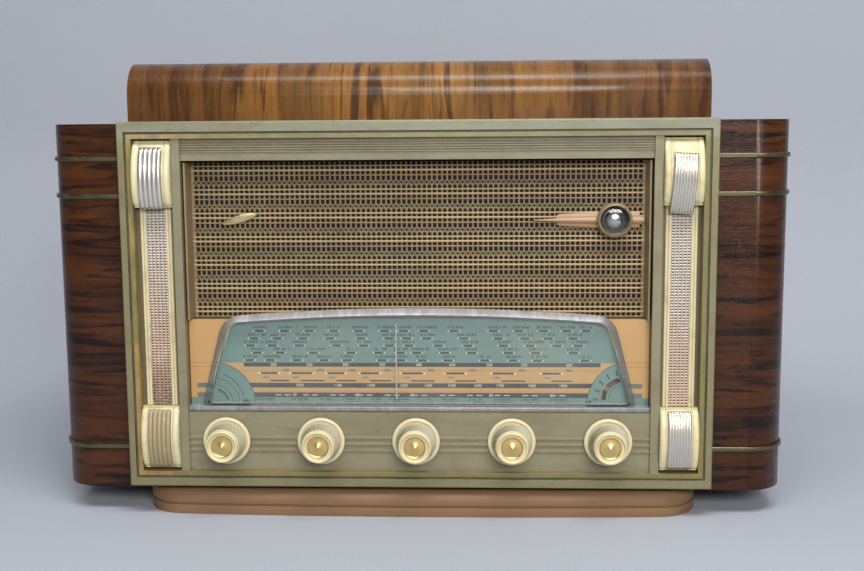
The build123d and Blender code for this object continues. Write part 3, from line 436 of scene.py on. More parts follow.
def raw_wood(name, tint, grain):
    """Bare ply, seen only from behind."""
    made, tree = start_finish(name)
    if tree is None:
        return made
    wood = effect(tree, wood_figure, {"Vector": stretch(tree, place(tree), grain), "Streaks": 0.2})
    base = blend(tree, wood["Figure"], [0.6 * v for v in tint], tint)
    base = blend(tree, maths(tree, "MULTIPLY", wood["Pore"], 0.4), base, [0.35 * v for v in tint])
    close_finish(tree, {"Base Color": base, "Roughness": spread(tree, wood["Figure"], 0, 1, 0.6, 0.8),
                        "Normal": bump(tree, wood["Pore"], -0.0001)})
    return made


def front_paint():
    """Khaki paint over the front moulding, with a green bead worn to gold, darkened grooves, painted shade
    in crevices and set-back faces, and painted shade on all but the top band.
    """
    made, tree = start_finish("front_paint")
    if tree is None:
        return made
    c = colours()
    low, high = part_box("front_moulding")
    where = place(tree)
    x, y, z = split(tree, where)
    middle_z = low.z + (0.012 + (high.z - low.z) - 0.013) / 2
    half_height = ((high.z - low.z) - 0.025) / 2
    half_width = (high.x - low.x) / 2 - 0.0105
    beside = maths(tree, "SUBTRACT", maths(tree, "ABSOLUTE", x), half_width)
    rise = maths(tree, "ABSOLUTE", maths(tree, "SUBTRACT", z, middle_z))
    above = maths(tree, "SUBTRACT", rise, half_height)
    ring = maths(tree, "MAXIMUM", beside, above)
    mottle = effect(tree, speckle, {"Scale": 420.0, "Contrast": 0.42})
    base = blend(tree, 1.0, c.paint, mottle["Shade"], "MULTIPLY")
    inside = spread(tree, ring, 0.0, -0.001)
    tinted = blend(tree, 1.0, base, (0.98, 0.90, 0.82), "MULTIPLY")
    base = blend(tree, inside, base, tinted)
    on_bead = maths(tree, "MULTIPLY", spread(tree, ring, -0.0004, 0.0), spread(tree, ring, 0.0038, 0.0034))
    bead = blend(tree, 1.0, c.bead, mottle["Shade"], "MULTIPLY")
    rub = spread(tree, noise(tree, stretch(tree, where, (1.0, 1.0, 0.35)), 75.0, 5.0, 0.65), 0.40, 0.58)
    leftward = spread(tree, x, -0.16, -0.21, 0.22, 0.95)
    bead = blend(tree, maths(tree, "MULTIPLY", rub, leftward), bead, c.gold_wear)
    base = blend(tree, on_bead, base, bead)
    # Painted shade: the frame's sides and foot are darker and yellower than its top band, so the top band
    # looks lit from above.
    shade_below_top_band = maths(
        tree, "MULTIPLY", spread(tree, ring, -0.0006, 0.0),
        spread(tree, z, high.z - 0.012, high.z - 0.016)
    )
    base = blend(tree, shade_below_top_band, base, blend(tree, 1.0, base, (0.86, 0.80, 0.58), "MULTIPLY"))
    in_groove = maths(
        tree, "MULTIPLY", spread(tree, ring, 0.0034, 0.0038), spread(tree, ring, 0.0054, 0.0050)
    )
    base = blend(tree, maths(tree, "MULTIPLY", in_groove, 0.85), base, c.groove)
    well = maths(tree, "MULTIPLY", spread(tree, beside, -0.0298, -0.0302, 1.0, 0.0), inside)
    well = maths(tree, "MULTIPLY", well, spread(tree, y, low.y + 0.0025, low.y + 0.004))
    base = blend(tree, maths(tree, "MULTIPLY", well, 0.55), base, (0.20, 0.13, 0.06))
    # Painted shade: faces set back more than 6 to 16 mm behind the front fade to near black.
    deep = spread(tree, y, low.y + 0.006, low.y + 0.016)
    base = blend(tree, maths(tree, "MULTIPLY", deep, 0.85), base, (0.035, 0.028, 0.018))
    # Painted shade: ambient occlusion darkens the crevices towards the groove colour.
    crevice_shade = put(
        tree, "AmbientOcclusion", {"samples": 4, "only_local": True}, {"Distance": 0.0035}
    ).outputs["AO"]
    base = blend(tree, spread(tree, crevice_shade, 0.72, 0.35, 0.0, 0.7), base, c.groove)
    grime = spread(
        tree, noise(tree, stretch(tree, where, (1.0, 1.0, 2.5)), 22.0, 6.0, 0.7, 0.5), 0.45, 0.68
    )
    base = blend(tree, maths(tree, "MULTIPLY", grime, 0.42), base, (0.15, 0.105, 0.055))
    fleck = spread(tree, noise(tree, where, 240.0, 3.0, 0.6), 0.66, 0.74)
    base = blend(tree, maths(tree, "MULTIPLY", fleck, 0.6), base, (0.14, 0.075, 0.035))
    worn = effect(tree, edge_wear, {"Width": 0.0007, "Break up": 85.0})
    base = blend(tree, maths(tree, "MULTIPLY", worn["Mask"], 0.55), base, c.gold_wear)
    close_finish(tree, {
        "Base Color": base,
        "Roughness": spread(tree, mottle["Height"], 0.3, 0.7, 0.36, 0.52),
        "Normal": bump(tree, mottle["Height"], 0.00005),
    })
    return made


def grille_plastic(name, strength):
    """Brown-gold moulded grille, paler where it has rubbed."""
    made, tree = start_finish(name)
    if tree is None:
        return made
    c = colours()
    mottle = effect(tree, speckle, {"Scale": 260.0, "Contrast": 0.5})
    # A strength above one makes a brighter copy of the finish, used as a painted highlight.
    tint = [min(1.0, strength * v) for v in c.grille]
    base = blend(tree, 1.0, tint, mottle["Shade"], "MULTIPLY")
    patches = spread(tree, noise(tree, place(tree), 9.0, 4.0, 0.6), 0.35, 0.65)
    base = blend(tree, maths(tree, "MULTIPLY", patches, 0.35), base, [0.62 * v for v in tint])
    worn = effect(tree, edge_wear, {"Width": 0.0004, "Break up": 120.0})
    base = blend(tree, maths(tree, "MULTIPLY", worn["Mask"], 0.6), base, (0.44, 0.33, 0.17))
    close_finish(tree, {
        "Base Color": base,
        "Roughness": spread(tree, mottle["Height"], 0.3, 0.7, 0.38, 0.55),
        "Metallic": spread(tree, patches, 0.0, 1.0, 0.15, 0.30),
        "Normal": bump(tree, mottle["Height"], 0.00003),
    })
    return made


def cloth_black():
    """Black speaker cloth."""
    made, tree = start_finish("cloth_black")
    if tree is None:
        return made
    threads = effect(tree, weave, {"Pitch": 0.0009})
    base = blend(tree, threads["Gap"], (0.012, 0.010, 0.009), (0.002, 0.002, 0.002))
    close_finish(tree, {"Base Color": base, "Roughness": spread(tree, threads["Thread"], 0, 1, 0.95, 0.8),
                        "Normal": bump(tree, threads["Thread"], 0.0002)})
    return made


def ivory_plastic(name="ivory_plastic", stain=0.35, scale=30.0):
    """Aged ivory plastic with tea-coloured stains and painted shade in its crevices."""
    made, tree = start_finish(name)
    if tree is None:
        return made
    c = colours()
    where = place(tree)
    mottle = effect(tree, speckle, {"Scale": 500.0, "Contrast": 0.16})
    base = blend(tree, 1.0, c.ivory, mottle["Shade"], "MULTIPLY")
    clouds = spread(tree, noise(tree, where, scale, 5.0, 0.65, 0.8), 0.50, 0.72)
    base = blend(tree, maths(tree, "MULTIPLY", clouds, stain), base, c.ivory_stain)
    # Painted shade: ambient occlusion darkens the crevices brown.
    crevice_shade = put(
        tree, "AmbientOcclusion", {"samples": 4, "only_local": True}, {"Distance": 0.002}
    ).outputs["AO"]
    base = blend(tree, spread(tree, crevice_shade, 0.80, 0.45, 0.0, 0.6), base, (0.22, 0.15, 0.07))
    close_finish(tree, {
        "Base Color": base,
        "Roughness": spread(tree, clouds, 0.0, 1.0, 0.27, 0.45),
        "Subsurface Weight": 0.06,
        "Subsurface Scale": 0.002,
        "Normal": bump(tree, mottle["Height"], 0.00002),
    })
    return made


def metal(name, tint, low, high, dirt=(0.10, 0.08, 0.05), dirt_amount=0.3, scale=60.0):
    """Metal with tarnish in patches and fine scratches."""
    made, tree = start_finish(name)
    if tree is None:
        return made
    where = place(tree)
    patches = spread(tree, noise(tree, where, scale, 5.0, 0.65, 0.4), 0.46, 0.70)
    scratches = noise(tree, stretch(tree, where, (1.0, 1.0, 14.0)), 220.0, 2.0)
    base = blend(tree, maths(tree, "MULTIPLY", patches, dirt_amount), tint, dirt)
    rough = spread(
        tree, maths(tree, "ADD", patches, maths(tree, "MULTIPLY", scratches, 0.4)), 0.0, 1.4, low, high
    )
    close_finish(tree, {
        "Base Color": base,
        "Metallic": spread(tree, patches, 0.0, 1.0, 1.0, 1.0 - 0.7 * dirt_amount),
        "Roughness": rough,
        "Normal": bump(tree, scratches, 0.00002),
    })
    return made


def chrome_plate():
    """Bright ribs, worn to a tan base at their upper ends."""
    made, tree = start_finish("chrome_plate")
    if tree is None:
        return made
    c = colours()
    where = place(tree)
    fade = put(tree, "Attribute", {"attribute_name": "worn"}).outputs["Fac"]
    patches = noise(tree, where, 130.0, 5.0, 0.7)
    worn = spread(tree, maths(tree, "ADD", fade, maths(tree, "MULTIPLY", patches, 0.5)), 0.95, 1.15)
    base = blend(tree, worn, c.chrome, (0.36, 0.29, 0.16))
    valley = put(tree, "Attribute", {"attribute_name": "valley"}).outputs["Fac"]
    base = blend(tree, spread(tree, valley, 0.30, 0.9, 0.0, 0.95), base, (0.10, 0.07, 0.035))
    scratches = noise(tree, stretch(tree, where, (14.0, 1.0, 1.0)), 200.0, 2.0)
    close_finish(tree, {
        "Base Color": base,
        "Metallic": maths(
            tree, "MULTIPLY", spread(tree, worn, 0, 1, 1.0, 0.1), spread(tree, valley, 0.3, 1, 1, 0.4)
        ),
        "Roughness": maths(
            tree, "ADD", spread(tree, worn, 0, 1, 0.30, 0.46), maths(tree, "MULTIPLY", scratches, 0.08)
        ),
        "Normal": bump(tree, scratches, 0.00002)
    })
    return made


def ribbon_thread():
    """Silvery woven plastic, going amber towards the foot."""
    made, tree = start_finish("ribbon_thread")
    if tree is None:
        return made
    where = place(tree)
    x, y, z = split(tree, where)
    low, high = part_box("ribbon_left")
    down = spread(tree, z, high.z - 0.03, low.z + 0.02)
    clouds = noise(tree, stretch(tree, where, (1.0, 1.0, 0.5)), 60.0, 5.0, 0.6)
    amber = spread(tree, maths(tree, "ADD", maths(tree, "MULTIPLY", down, 0.55), clouds), 0.55, 1.1)
    amber = maths(tree, "MULTIPLY", amber, spread(tree, x, 0.05, -0.05, 0.55, 1.0))
    base = blend(tree, amber, (0.50, 0.43, 0.36), (0.44, 0.22, 0.075))
    foot = spread(
        tree, maths(tree, "ADD", maths(tree, "MULTIPLY", z, -9.0), clouds),
        0.10 - 9.0 * (low.z + 0.012), 0.62 - 9.0 * (low.z + 0.012)
    )
    left_only = spread(tree, x, 0.05, -0.05)
    base = blend(
        tree, maths(tree, "MULTIPLY", maths(tree, "MULTIPLY", foot, left_only), 0.85), base,
        (0.10, 0.035, 0.012)
    )
    fibres = noise(tree, stretch(tree, where, (1.0, 1.0, 6.0)), 400.0, 2.0)
    base = blend(tree, spread(tree, fibres, 0.35, 0.65, 0.0, 0.35), base, (0.80, 0.76, 0.70))
    close_finish(tree, {"Base Color": base, "Roughness": spread(tree, fibres, 0.3, 0.7, 0.25, 0.45),
                        "Metallic": spread(tree, amber, 0.0, 1.0, 0.35, 0.1),
                        "Normal": bump(tree, fibres, 0.00004)})
    return made


def ribbon_back():
    """Dark amber backing under the threads."""
    made, tree = start_finish("ribbon_back")
    if tree is None:
        return made
    clouds = noise(tree, place(tree), 45.0, 4.0)
    base = blend(tree, spread(tree, clouds, 0.35, 0.65), (0.045, 0.022, 0.012), (0.11, 0.055, 0.025))
    close_finish(tree, {"Base Color": base, "Roughness": spread(tree, clouds, 0.3, 0.7, 0.5, 0.7)})
    return made


def print_ink(name, tint, contrast=0.16):
    """Printed colour with a little fading."""
    made, tree = start_finish(name)
    if tree is None:
        return made
    mottle = effect(tree, speckle, {"Scale": 700.0, "Contrast": contrast})
    base = blend(tree, 1.0, tint, mottle["Shade"], "MULTIPLY")
    faded = spread(tree, noise(tree, place(tree), 17.0, 4.0, 0.6), 0.45, 0.75)
    base = blend(tree, maths(tree, "MULTIPLY", faded, 0.14), base, (0.42, 0.40, 0.32))
    close_finish(
        tree, {"Base Color": base, "Roughness": spread(tree, mottle["Height"], 0.3, 0.7, 0.45, 0.6)}
    )
    return made


def clear_window(name, tint, low, high, reflection_tint=None):
    """Clear plastic or glass: light passes straight through it for shadows. Sloping edges can carry a
    painted reflection.
    """
    made, tree = start_finish(name)
    if tree is None:
        return made
    where = place(tree)
    smears = noise(tree, stretch(tree, where, (1.0, 1.0, 2.0)), 28.0, 5.0, 0.7, 0.6)
    shader = put(tree, "BsdfPrincipled", None, {
        "Base Color": rgba(tint),
        "Roughness": spread(tree, smears, 0.4, 0.75, low, high),
        "Transmission Weight": 1.0,
        "IOR": 1.45,
    })
    ghost = put(tree, "BsdfTransparent", None, {"Color": rgba(tint)})
    path = put(tree, "LightPath")
    soft = maths(tree, "MAXIMUM", path.outputs["Is Shadow Ray"], path.outputs["Is Diffuse Ray"])
    both = put(tree, "MixShader", None, {0: soft, 1: shader.outputs[0], 2: ghost.outputs[0]})
    surface = both.outputs[0]
    # Painted reflection: sloping rim faces and the foot lip become an opaque grey surface in place of the
    # reflections a clear rim shows.
    if reflection_tint:
        sideways, facing, _ = split(tree, put(tree, "NewGeometry").outputs["True Normal"])
        sloping = spread(tree, maths(tree, "ABSOLUTE", facing), 0.985, 0.93)
        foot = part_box("dial_lens")[0].z
        sloping = maths(
            tree, "MAXIMUM", sloping,
            spread(tree, split(tree, where)[2], foot + 0.0040, foot + 0.0036, 0, 0.8)
        )
        streaks = spread(
            tree, noise(tree, stretch(tree, where, (4.0, 1.0, 1.0)), 40.0, 5.0, 0.7), 0.35, 0.7
        )
        cloud = blend(tree, streaks, reflection_tint, [0.6 * v for v in reflection_tint])
        # Painted shade: the rim is darker where it faces sideways.
        ends = spread(tree, maths(tree, "ABSOLUTE", sideways), 0.25, 0.5)
        reflection_surface = put(tree, "BsdfPrincipled", None, {
            "Base Color": blend(tree, ends, cloud, [0.42 * v for v in reflection_tint]),
            "Roughness": spread(tree, streaks, 0.0, 1.0, 0.16, 0.34),
        })
        share = maths(tree, "MULTIPLY", sloping, spread(tree, streaks, 0.0, 1.0, 0.80, 0.60))
        surface = put(tree, "MixShader", None, {0: share, 1: surface, 2: reflection_surface.outputs[0]}).outputs[0]
    put(tree, "OutputMaterial", None, {"Surface": surface})
    return made


def fluted_skirt():
    """Greyer plastic in the flutes of the knobs, with painted shade in the flute valleys."""
    made, tree = start_finish("knob_skirt")
    if tree is None:
        return made
    valley = put(tree, "Attribute", {"attribute_name": "valley"}).outputs["Fac"]
    mottle = effect(tree, speckle, {"Scale": 380.0, "Contrast": 0.3})
    base = blend(tree, 1.0, (0.58, 0.53, 0.38), mottle["Shade"], "MULTIPLY")
    # Painted shade: the flute valleys are darkened.
    base = blend(tree, spread(tree, valley, 0.15, 0.85), base, (0.33, 0.29, 0.20))
    close_finish(tree, {
        "Base Color": base, "Roughness": spread(tree, mottle["Height"], 0.3, 0.7, 0.28, 0.4),
        "Normal": bump(tree, mottle["Height"], 0.00002)
    })
    return made


def gold_inlay():
    """Turned gold disc."""
    made, tree = start_finish("gold_inlay")
    if tree is None:
        return made
    c = colours()
    rings = effect(tree, spun_rings, {"Pitch": 0.0009, "Rays": 20.0})
    base = blend(tree, maths(tree, "MULTIPLY", rings["Ray"], 0.55), c.gold, (0.66, 0.42, 0.10))
    height = maths(
        tree, "ADD", maths(tree, "MULTIPLY", rings["Ring"], 0.6),
        maths(tree, "MULTIPLY", rings["Ray"], 0.4)
    )
    close_finish(tree, {
        "Base Color": base,
        "Metallic": 1.0,
        "Roughness": spread(tree, rings["Ray"], 0.0, 1.0, 0.34, 0.50),
        "Normal": bump(tree, height, 0.00022),
    })
    return made


def plain(name, tint, rough, contrast=0.3, scale=150.0, depth=0.00008, metallic=0.0, dusty=0.3):
    """Everyday painted, pressed or moulded stuff with mottling and dust."""
    made, tree = start_finish(name)
    if tree is None:
        return made
    mottle = effect(tree, speckle, {"Scale": scale, "Contrast": contrast})
    base = blend(tree, 1.0, tint, mottle["Shade"], "MULTIPLY")
    worn = effect(tree, edge_wear, {"Width": 0.0008, "Break up": 90.0})
    base = blend(tree, maths(tree, "MULTIPLY", worn["Mask"], 0.3), base, [
        min(1, 1.7 * v + 0.03) for v in tint
    ])
    settled = effect(tree, dust, {"Amount": dusty, "Scale": 60.0})
    base = blend(tree, settled["Mask"], base, (0.26, 0.24, 0.20))
    close_finish(tree, {
        "Base Color": base,
        "Roughness": spread(tree, mottle["Height"], 0.25, 0.75, rough - 0.08, rough + 0.08),
        "Metallic": metallic,
        "Normal": bump(tree, mottle["Height"], depth),
    })
    return made


# ------------------------------------------------------------------ mesh building blocks
class Shell:
    """Gathers points and faces of one piece, in millimetres."""

    def __init__(self):
        self.points = []
        self.faces = []
        self.inks = []

    def add(self, points, faces, ink=0):
        start = len(self.points)
        self.points.extend(points)
        self.faces.extend([tuple(start + number for number in face) for face in faces])
        self.inks.extend([ink] * len(faces))

    def grid(self, rows, ink=0, round_rows=False, round_columns=False):
        """Skin through rows of points."""
        count = len(rows[0])
        points = [point for row in rows for point in row]
        faces = []
        for row in range(len(rows) if round_rows else len(rows) - 1):
            after = (row + 1) % len(rows)
            for column in range(count if round_columns else count - 1):
                beside = (column + 1) % count
                faces.append((row * count + column, row * count + beside,
                              after * count + beside, after * count + column))
        self.add(points, faces, ink)

    def bar(self, start, end, width, front, back, ink=0, ease=0.22):
        """Straight bar with an eased front, between two points given as x and z."""
        along = Vector((end[0] - start[0], end[1] - start[1])).normalized()
        side = Vector((-along.y, along.x)) * width / 2
        rows = []
        for x, z in (start, end):
            rows.append([
                (x - side.x, back, z - side.y),
                (x - side.x, front + ease * width, z - side.y),
                (x - side.x * (1 - 2 * ease), front, z - side.y * (1 - 2 * ease)),
                (x + side.x * (1 - 2 * ease), front, z + side.y * (1 - 2 * ease)),
                (x + side.x, front + ease * width, z + side.y),
                (x + side.x, back, z + side.y),
            ])
        self.grid(rows, ink)

    def plate(self, outline, depth, ink=0):
        """Flat printed shape, facing the front."""
        self.add([(x, depth, z) for x, z in outline], [tuple(range(len(outline)))], ink)

    def slab(self, outline, front, back, ink=0):
        """Flat shape with sides."""
        count = len(outline)
        points = [(x, front, z) for x, z in outline] + [(x, back, z) for x, z in outline]
        sides = [(n, (n + 1) % count, count + (n + 1) % count, count + n) for n in range(count)]
        self.add(points, [tuple(range(count))] + sides, ink)

    def turned(self, profile, segments=96, ink=0, ripple=None):
        """Skin turned about the front-to-back axis from (radius, depth) pairs."""
        rows = []
        for number, (radius, depth) in enumerate(profile):
            row = []
            for step in range(segments):
                angle = 2 * math.pi * step / segments
                reach = radius + (ripple(number, angle) if ripple else 0)
                row.append((reach * math.cos(angle), depth, reach * math.sin(angle)))
            rows.append(row)
        self.grid(rows, ink, round_columns=True)

    def piece(self, name, finishes, body="cabinet", slot=None, stands_for=(), at=(0, 0, 0), crease=35):
        """The finished object, riding on its body."""
        mesh = bpy.data.meshes.new(name)
        mesh.from_pydata([Vector(p) * MM for p in self.points], [], self.faces)
        for finish in finishes:
            mesh.materials.append(finish)
        mesh.polygons.foreach_set("material_index", self.inks)
        mesh.shade_smooth()
        mesh.set_sharp_from_angle(angle=math.radians(crease))
        mesh.validate()
        mesh.update()
        return set_piece(name, mesh, body, stands_for, at)


# ------------------------------------------------------------------ flat outlines
def cut(outline, start, end):
    """The part of an outline on the left of a line."""
    kept = []
    across = (end[0] - start[0], end[1] - start[1])

    def side(point):
        return across[0] * (point[1] - start[1]) - across[1] * (point[0] - start[0])

    for number, point in enumerate(outline):
        after = outline[(number + 1) % len(outline)]
        here, there = side(point), side(after)
        if here >= 0:
            kept.append(point)
        if here * there < 0:
            share = here / (here - there)
            kept.append(
                (point[0] + share * (after[0] - point[0]), point[1] + share * (after[1] - point[1]))
            )
    return kept


def clip(outline, region):
    """The part of an outline inside a region without hollows."""
    for number, point in enumerate(region):
        outline = cut(outline, point, region[(number + 1) % len(region)])
        if len(outline) < 3:
            return []
    return outline


def box_line(x0, x1, z0, z1):
    """Corners of a rectangle, anticlockwise."""
    return [(x0, z0), (x1, z0), (x1, z1), (x0, z1)]


def around(centre, reach, angle):
    """A point at a distance from a centre, with the angle in degrees from the right."""
    turn = math.radians(angle)
    return (centre[0] + reach * math.cos(turn), centre[1] + reach * math.sin(turn))


def ring_cell(centre, inner, outer, start, finish):
    """A short stretch of a ring."""
    return [around(centre, inner, start), around(centre, outer, start),
            around(centre, outer, finish), around(centre, inner, finish)]


# ------------------------------------------------------------------ placing pieces
def set_piece(name, mesh, body, stands_for=(), at=(0, 0, 0)):
    """Puts a mesh in the scene, riding on its body, in place of frame nodes if any are named."""
    made = bpy.data.objects.new(name, mesh)
    bpy.context.scene.collection.objects.link(made)
    made.location = Vector(at)
    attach(made, body)
    if stands_for:
        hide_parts(*stands_for)
    return made


def dress(node, finish, ease=0.0, segments=2):
    """Gives a frame node its finish, and eased edges if asked."""
    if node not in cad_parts:
        raise RuntimeError("there is no frame node " + node)
    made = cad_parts[node]
    made.data.materials.clear()
    made.data.materials.append(finish)
    if ease:
        join = made.modifiers.new("join", "WELD")
        join.merge_threshold = 0.00001
        edge = made.modifiers.new("ease", "BEVEL")
        edge.width = ease
        edge.segments = segments
        edge.limit_method = "ANGLE"
        edge.angle_limit = math.radians(38)
        edge.harden_normals = True
    return made


def millimetres(node):
    """A node's lowest and highest corner, in millimetres."""
    low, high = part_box(node)
    return low / MM, high / MM


# ------------------------------------------------------------------ cabinet
def build_cabinet():
    """Wings, beads, hood, plinth, floor and front board."""
    ease = sizes().edge_radius
    for side in ("left", "right"):
        dress("wing_" + side, wing_veneer(), 2 * ease, 3)
        bead = metal("bead_brass", (0.16, 0.145, 0.08), 0.30, 0.5, (0.10, 0.085, 0.045), 0.7, 80.0)
        dress("wing_beads_" + side, bead, 0.0007, 3)
    dress("hood", hood_veneer(), 2 * ease, 3)
    dress("plinth", plinth_wood(), ease, 3)
    dress("cabinet_floor", raw_wood("floor_ply", (0.36, 0.25, 0.14), (8, 60, 60)))
    dress("front_board", raw_wood("board_ply", (0.36, 0.25, 0.14), (8, 60, 60)))


def build_front():
    """The painted front moulding."""
    dress("front_moulding", front_paint(), 0.0004, 2)


# ------------------------------------------------------------------ grille
def build_grille():
    """Pierced lattice in its tray: square, crossed, arched and slotted rows."""
    s = sizes()
    low, high = millimetres("grille")
    shell = Shell()
    slope = s.tray_slope / MM
    left, right, top, foot = low.x + 1.0, high.x - 1.0, high.z - 1.0, low.z
    back = high.y
    lattice = back - 1.6
    inner_left, inner_right = left + slope, right - slope
    for wall_x, inner_x in ((left, inner_left), (right, inner_right)):
        shell.grid([[(wall_x, low.y, foot), (wall_x, low.y, top)],
                    [(wall_x + 0.4 * (inner_x - wall_x), low.y + 0.3, foot),
                     (wall_x + 0.4 * (inner_x - wall_x), low.y + 0.3, top)],
                    [(inner_x, lattice, foot), (inner_x, lattice, top)],
                    [(inner_x, back, foot), (inner_x, back, top)]], 0)
    shell.grid(
        [[(left, low.y, top), (right, low.y, top)], [(left, lattice, top), (right, lattice, top)]], 0
    )
    pitch, repeat, bar = s.grille_pitch / MM, s.grille_repeat / MM, s.grille_bar / MM
    columns = int((inner_right - inner_left) / pitch)
    first = (inner_left + inner_right) / 2 - columns * pitch / 2
    level_bars = (
        (1.75, 0.5, 0.1), (4.6, 0.5, 0.1), (8.4, 1.2, -0.4), (11.9, 1.5, -0.5), (15.75, 1.1, -0.3)
    )
    start = high.z - s.grille_first / MM
    rows = range(-1, int((start - foot) / repeat) + 2)

    def inside(z):
        return min(max(z, foot), top)

    for row in rows:
        centre = start - row * repeat
        # Bars set more than 0.3 mm proud take the second, brighter finish: a painted highlight on their
        # fronts.
        for drop, width, proud in level_bars:
            z = centre - drop
            if foot < z < top:
                shell.bar(
                    (inner_left, z), (inner_right, z), width, lattice + proud, back, int(proud < -0.3),
                    0.3
                )
        cross_top, cross_foot = centre - 1.75, centre - 4.6
        for column in range(columns + 1):
            x = first + column * pitch
            upper, lower = inside(cross_foot), inside(cross_foot - repeat + 2.85)
            if upper - lower > 0.3:
                shell.bar((x, upper), (x, lower), bar, lattice, back)
            if column == columns:
                continue
            if cross_foot > foot and cross_top < top:
                shell.bar((x, cross_top), (x + pitch, cross_foot), 0.55, lattice + 0.05, back)
                shell.bar((x, cross_foot), (x + pitch, cross_top), 0.55, lattice + 0.07, back)
            arch_top, spring = cross_foot, cross_foot - 1.7
            if spring > foot and arch_top < top:
                edge = x + bar / 2
                far = x + pitch - bar / 2
                middle = x + pitch / 2
                shell.slab(
                    [(edge, arch_top), (middle, arch_top), (edge + 0.35, spring + 0.9), (edge, spring)],
                    lattice + 0.12, back
                )
                shell.slab([(middle, arch_top), (far, arch_top), (far, spring), (far - 0.35, spring + 0.9)],
                           lattice + 0.12, back)
    last = first + columns * pitch
    for start_x, end_x in ((inner_left, first), (last, inner_right)):
        shell.slab(box_line(start_x, end_x, foot, top), lattice + 0.05, back)
    shell.piece(
        "grille_lattice", [grille_plastic("grille_plastic", 0.82), grille_plastic("grille_bars_highlight", 1.35)],
        "cabinet", "brown_moulding", ("grille",), crease=25
    )
    dress("grille_cloth", cloth_black())


# ------------------------------------------------------------------ tuning eye and badge
def build_eye():
    """Bezel bar and ring, glass dome, its dark cap and fluorescent target, and the badge."""
    low, high = millimetres("eye_bezel")
    eye_low, eye_high = millimetres("magic_eye")
    centre_z = (low.z + high.z) / 2
    radius = (eye_high.x - eye_low.x) / 2 - 3
    centre_x = (eye_low.x + eye_high.x) / 2
    ring = (high.z - low.z) / 2
    front, back = low.y, high.y
    shell = Shell()
    strips = (
        ((low.x, 0.2), (low.x + 18, 1.1), (centre_x - ring + 1, 1.5), 0.0),
        ((low.x + 17, 2.4), (low.x + 19, 2.6), (centre_x - ring + 1, 3.3), 0.5),
        ((low.x + 18, 4.0), (low.x + 22, 4.6), (centre_x - ring + 1, 6.0), 1.0),
        ((centre_x + ring - 1, 1.7), (high.x - 1, 1.7), (high.x, 1.7), 0.0),
        ((centre_x + ring - 1, 3.6), (high.x - 2, 3.6), (high.x - 1.5, 3.6), 0.5),
        ((centre_x + ring - 1, 6.0), (high.x - 4, 5.8), (high.x - 3.5, 5.8), 1.0),
    )
    for number, (first, second, third, drop) in enumerate(strips):
        ink = number % 3
        places = (first, second, third)
        for side in (1, -1):
            shell.grid([
                [(x, back, centre_z + side * half) for x, half in places],
                [(x, back - 1.9 + drop, centre_z + side * half) for x, half in places],
                [(x, back - 2.2 + drop, centre_z + side * max(half - 0.45, 0.1)) for x, half in places],
                [(x, back - 2.2 + drop, centre_z) for x, half in places],
            ], ink)
        for x, half in (first, third):
            shell.grid(
                [[(x, back, centre_z - half), (x, back, centre_z + half)], [
                    (x, back - 2.0 + drop, centre_z - half), (x, back - 2.0 + drop, centre_z + half)
                ]],
                ink
            )
    # Painted light and shade: one tan moulding in three tones, lighter on the spine and darker on the step.
    lit_and_shaded_tans = [plain("tan_" + label, tint, 0.4, 0.4, 200, 0.00004) for label, tint in (
        ("spine", (0.44, 0.27, 0.13)), ("step", (0.25, 0.145, 0.065)), ("foot", (0.37, 0.215, 0.10)))]
    shell.piece("eye_bar", lit_and_shaded_tans, "cabinet", "tan_moulding")
    depth = back - front
    shell = Shell()
    shell.turned(
        [
            (ring - 1.3, depth - 0.2), (ring - 0.1, depth - 0.2), (ring, 3.0), (ring - 0.5, 1.2),
            (ring - 1.3, 0.3), (ring - 2.0, 0.1), (radius + 0.9, 0.8), (radius + 0.5, 2.4),
            (radius + 0.5, depth - 0.2)
        ],
        96
    )
    shell.piece("eye_ring", [plain("tan_ring", (0.24, 0.165, 0.088), 0.30, 0.4, 200, 0.00003)], "cabinet",
                "tan_moulding", ("eye_bezel",), at=Vector((centre_x, front, centre_z)) * MM)
    shell = Shell()
    crown, steps = 2.6, 10
    turns = [math.pi / 2 * number / steps for number in range(steps + 1)]
    dome = [(radius * math.sin(turn), crown - crown * math.cos(turn)) for turn in turns]
    dome[0] = (0.01, dome[0][1])
    shell.turned(dome + [(radius, 8.0)], 96)
    shell.piece(
        "eye_glass", [clear_window("eye_glass", (0.93, 0.95, 0.96), 0.0, 0.05)], "cabinet",
        "valve_glass", at=(centre_x * MM, eye_low.y * MM, centre_z * MM)
    )
    shell = Shell()
    shell.turned([(0.01, 1.0), (2.0, 1.1), (4.2, 1.7), (6.0, 2.8), (7.2, 4.4), (7.6, 6.0)], 64, 0)
    shell.turned([(7.6, 6.0), (radius - 1.3, 6.4), (radius - 0.5, 5.0)], 64, 1)
    shell.turned(
        [(radius - 0.5, 5.0), (radius - 0.3, 8.0), (radius - 0.3, eye_high.y - eye_low.y - 16)], 64, 2
    )
    base = eye_high.y - eye_low.y
    shell.turned(
        [
            (radius - 0.3, base - 16), (radius + 2.9, base - 15), (radius + 2.9, base - 1),
            (radius + 2, base), (0.01, base)
        ],
        64, 2
    )
    finishes = [
        metal("eye_mirror", (0.46, 0.46, 0.48), 0.22, 0.38, (0.10, 0.10, 0.11), 0.5, 160),
        plain("eye_target", (0.05, 0.055, 0.055), 0.35, 0.3, 120, 0.00002),
        plain("eye_shell", (0.02, 0.018, 0.016), 0.4, 0.2, 120, 0.00002),
    ]
    shell.piece("eye_target", finishes, "cabinet", "valve_glass", ("magic_eye",),
                at=(centre_x * MM, eye_low.y * MM, centre_z * MM))
    build_badge()
    dress("eye_sleeve", metal("sleeve_steel", (0.42, 0.41, 0.38), 0.35, 0.6))


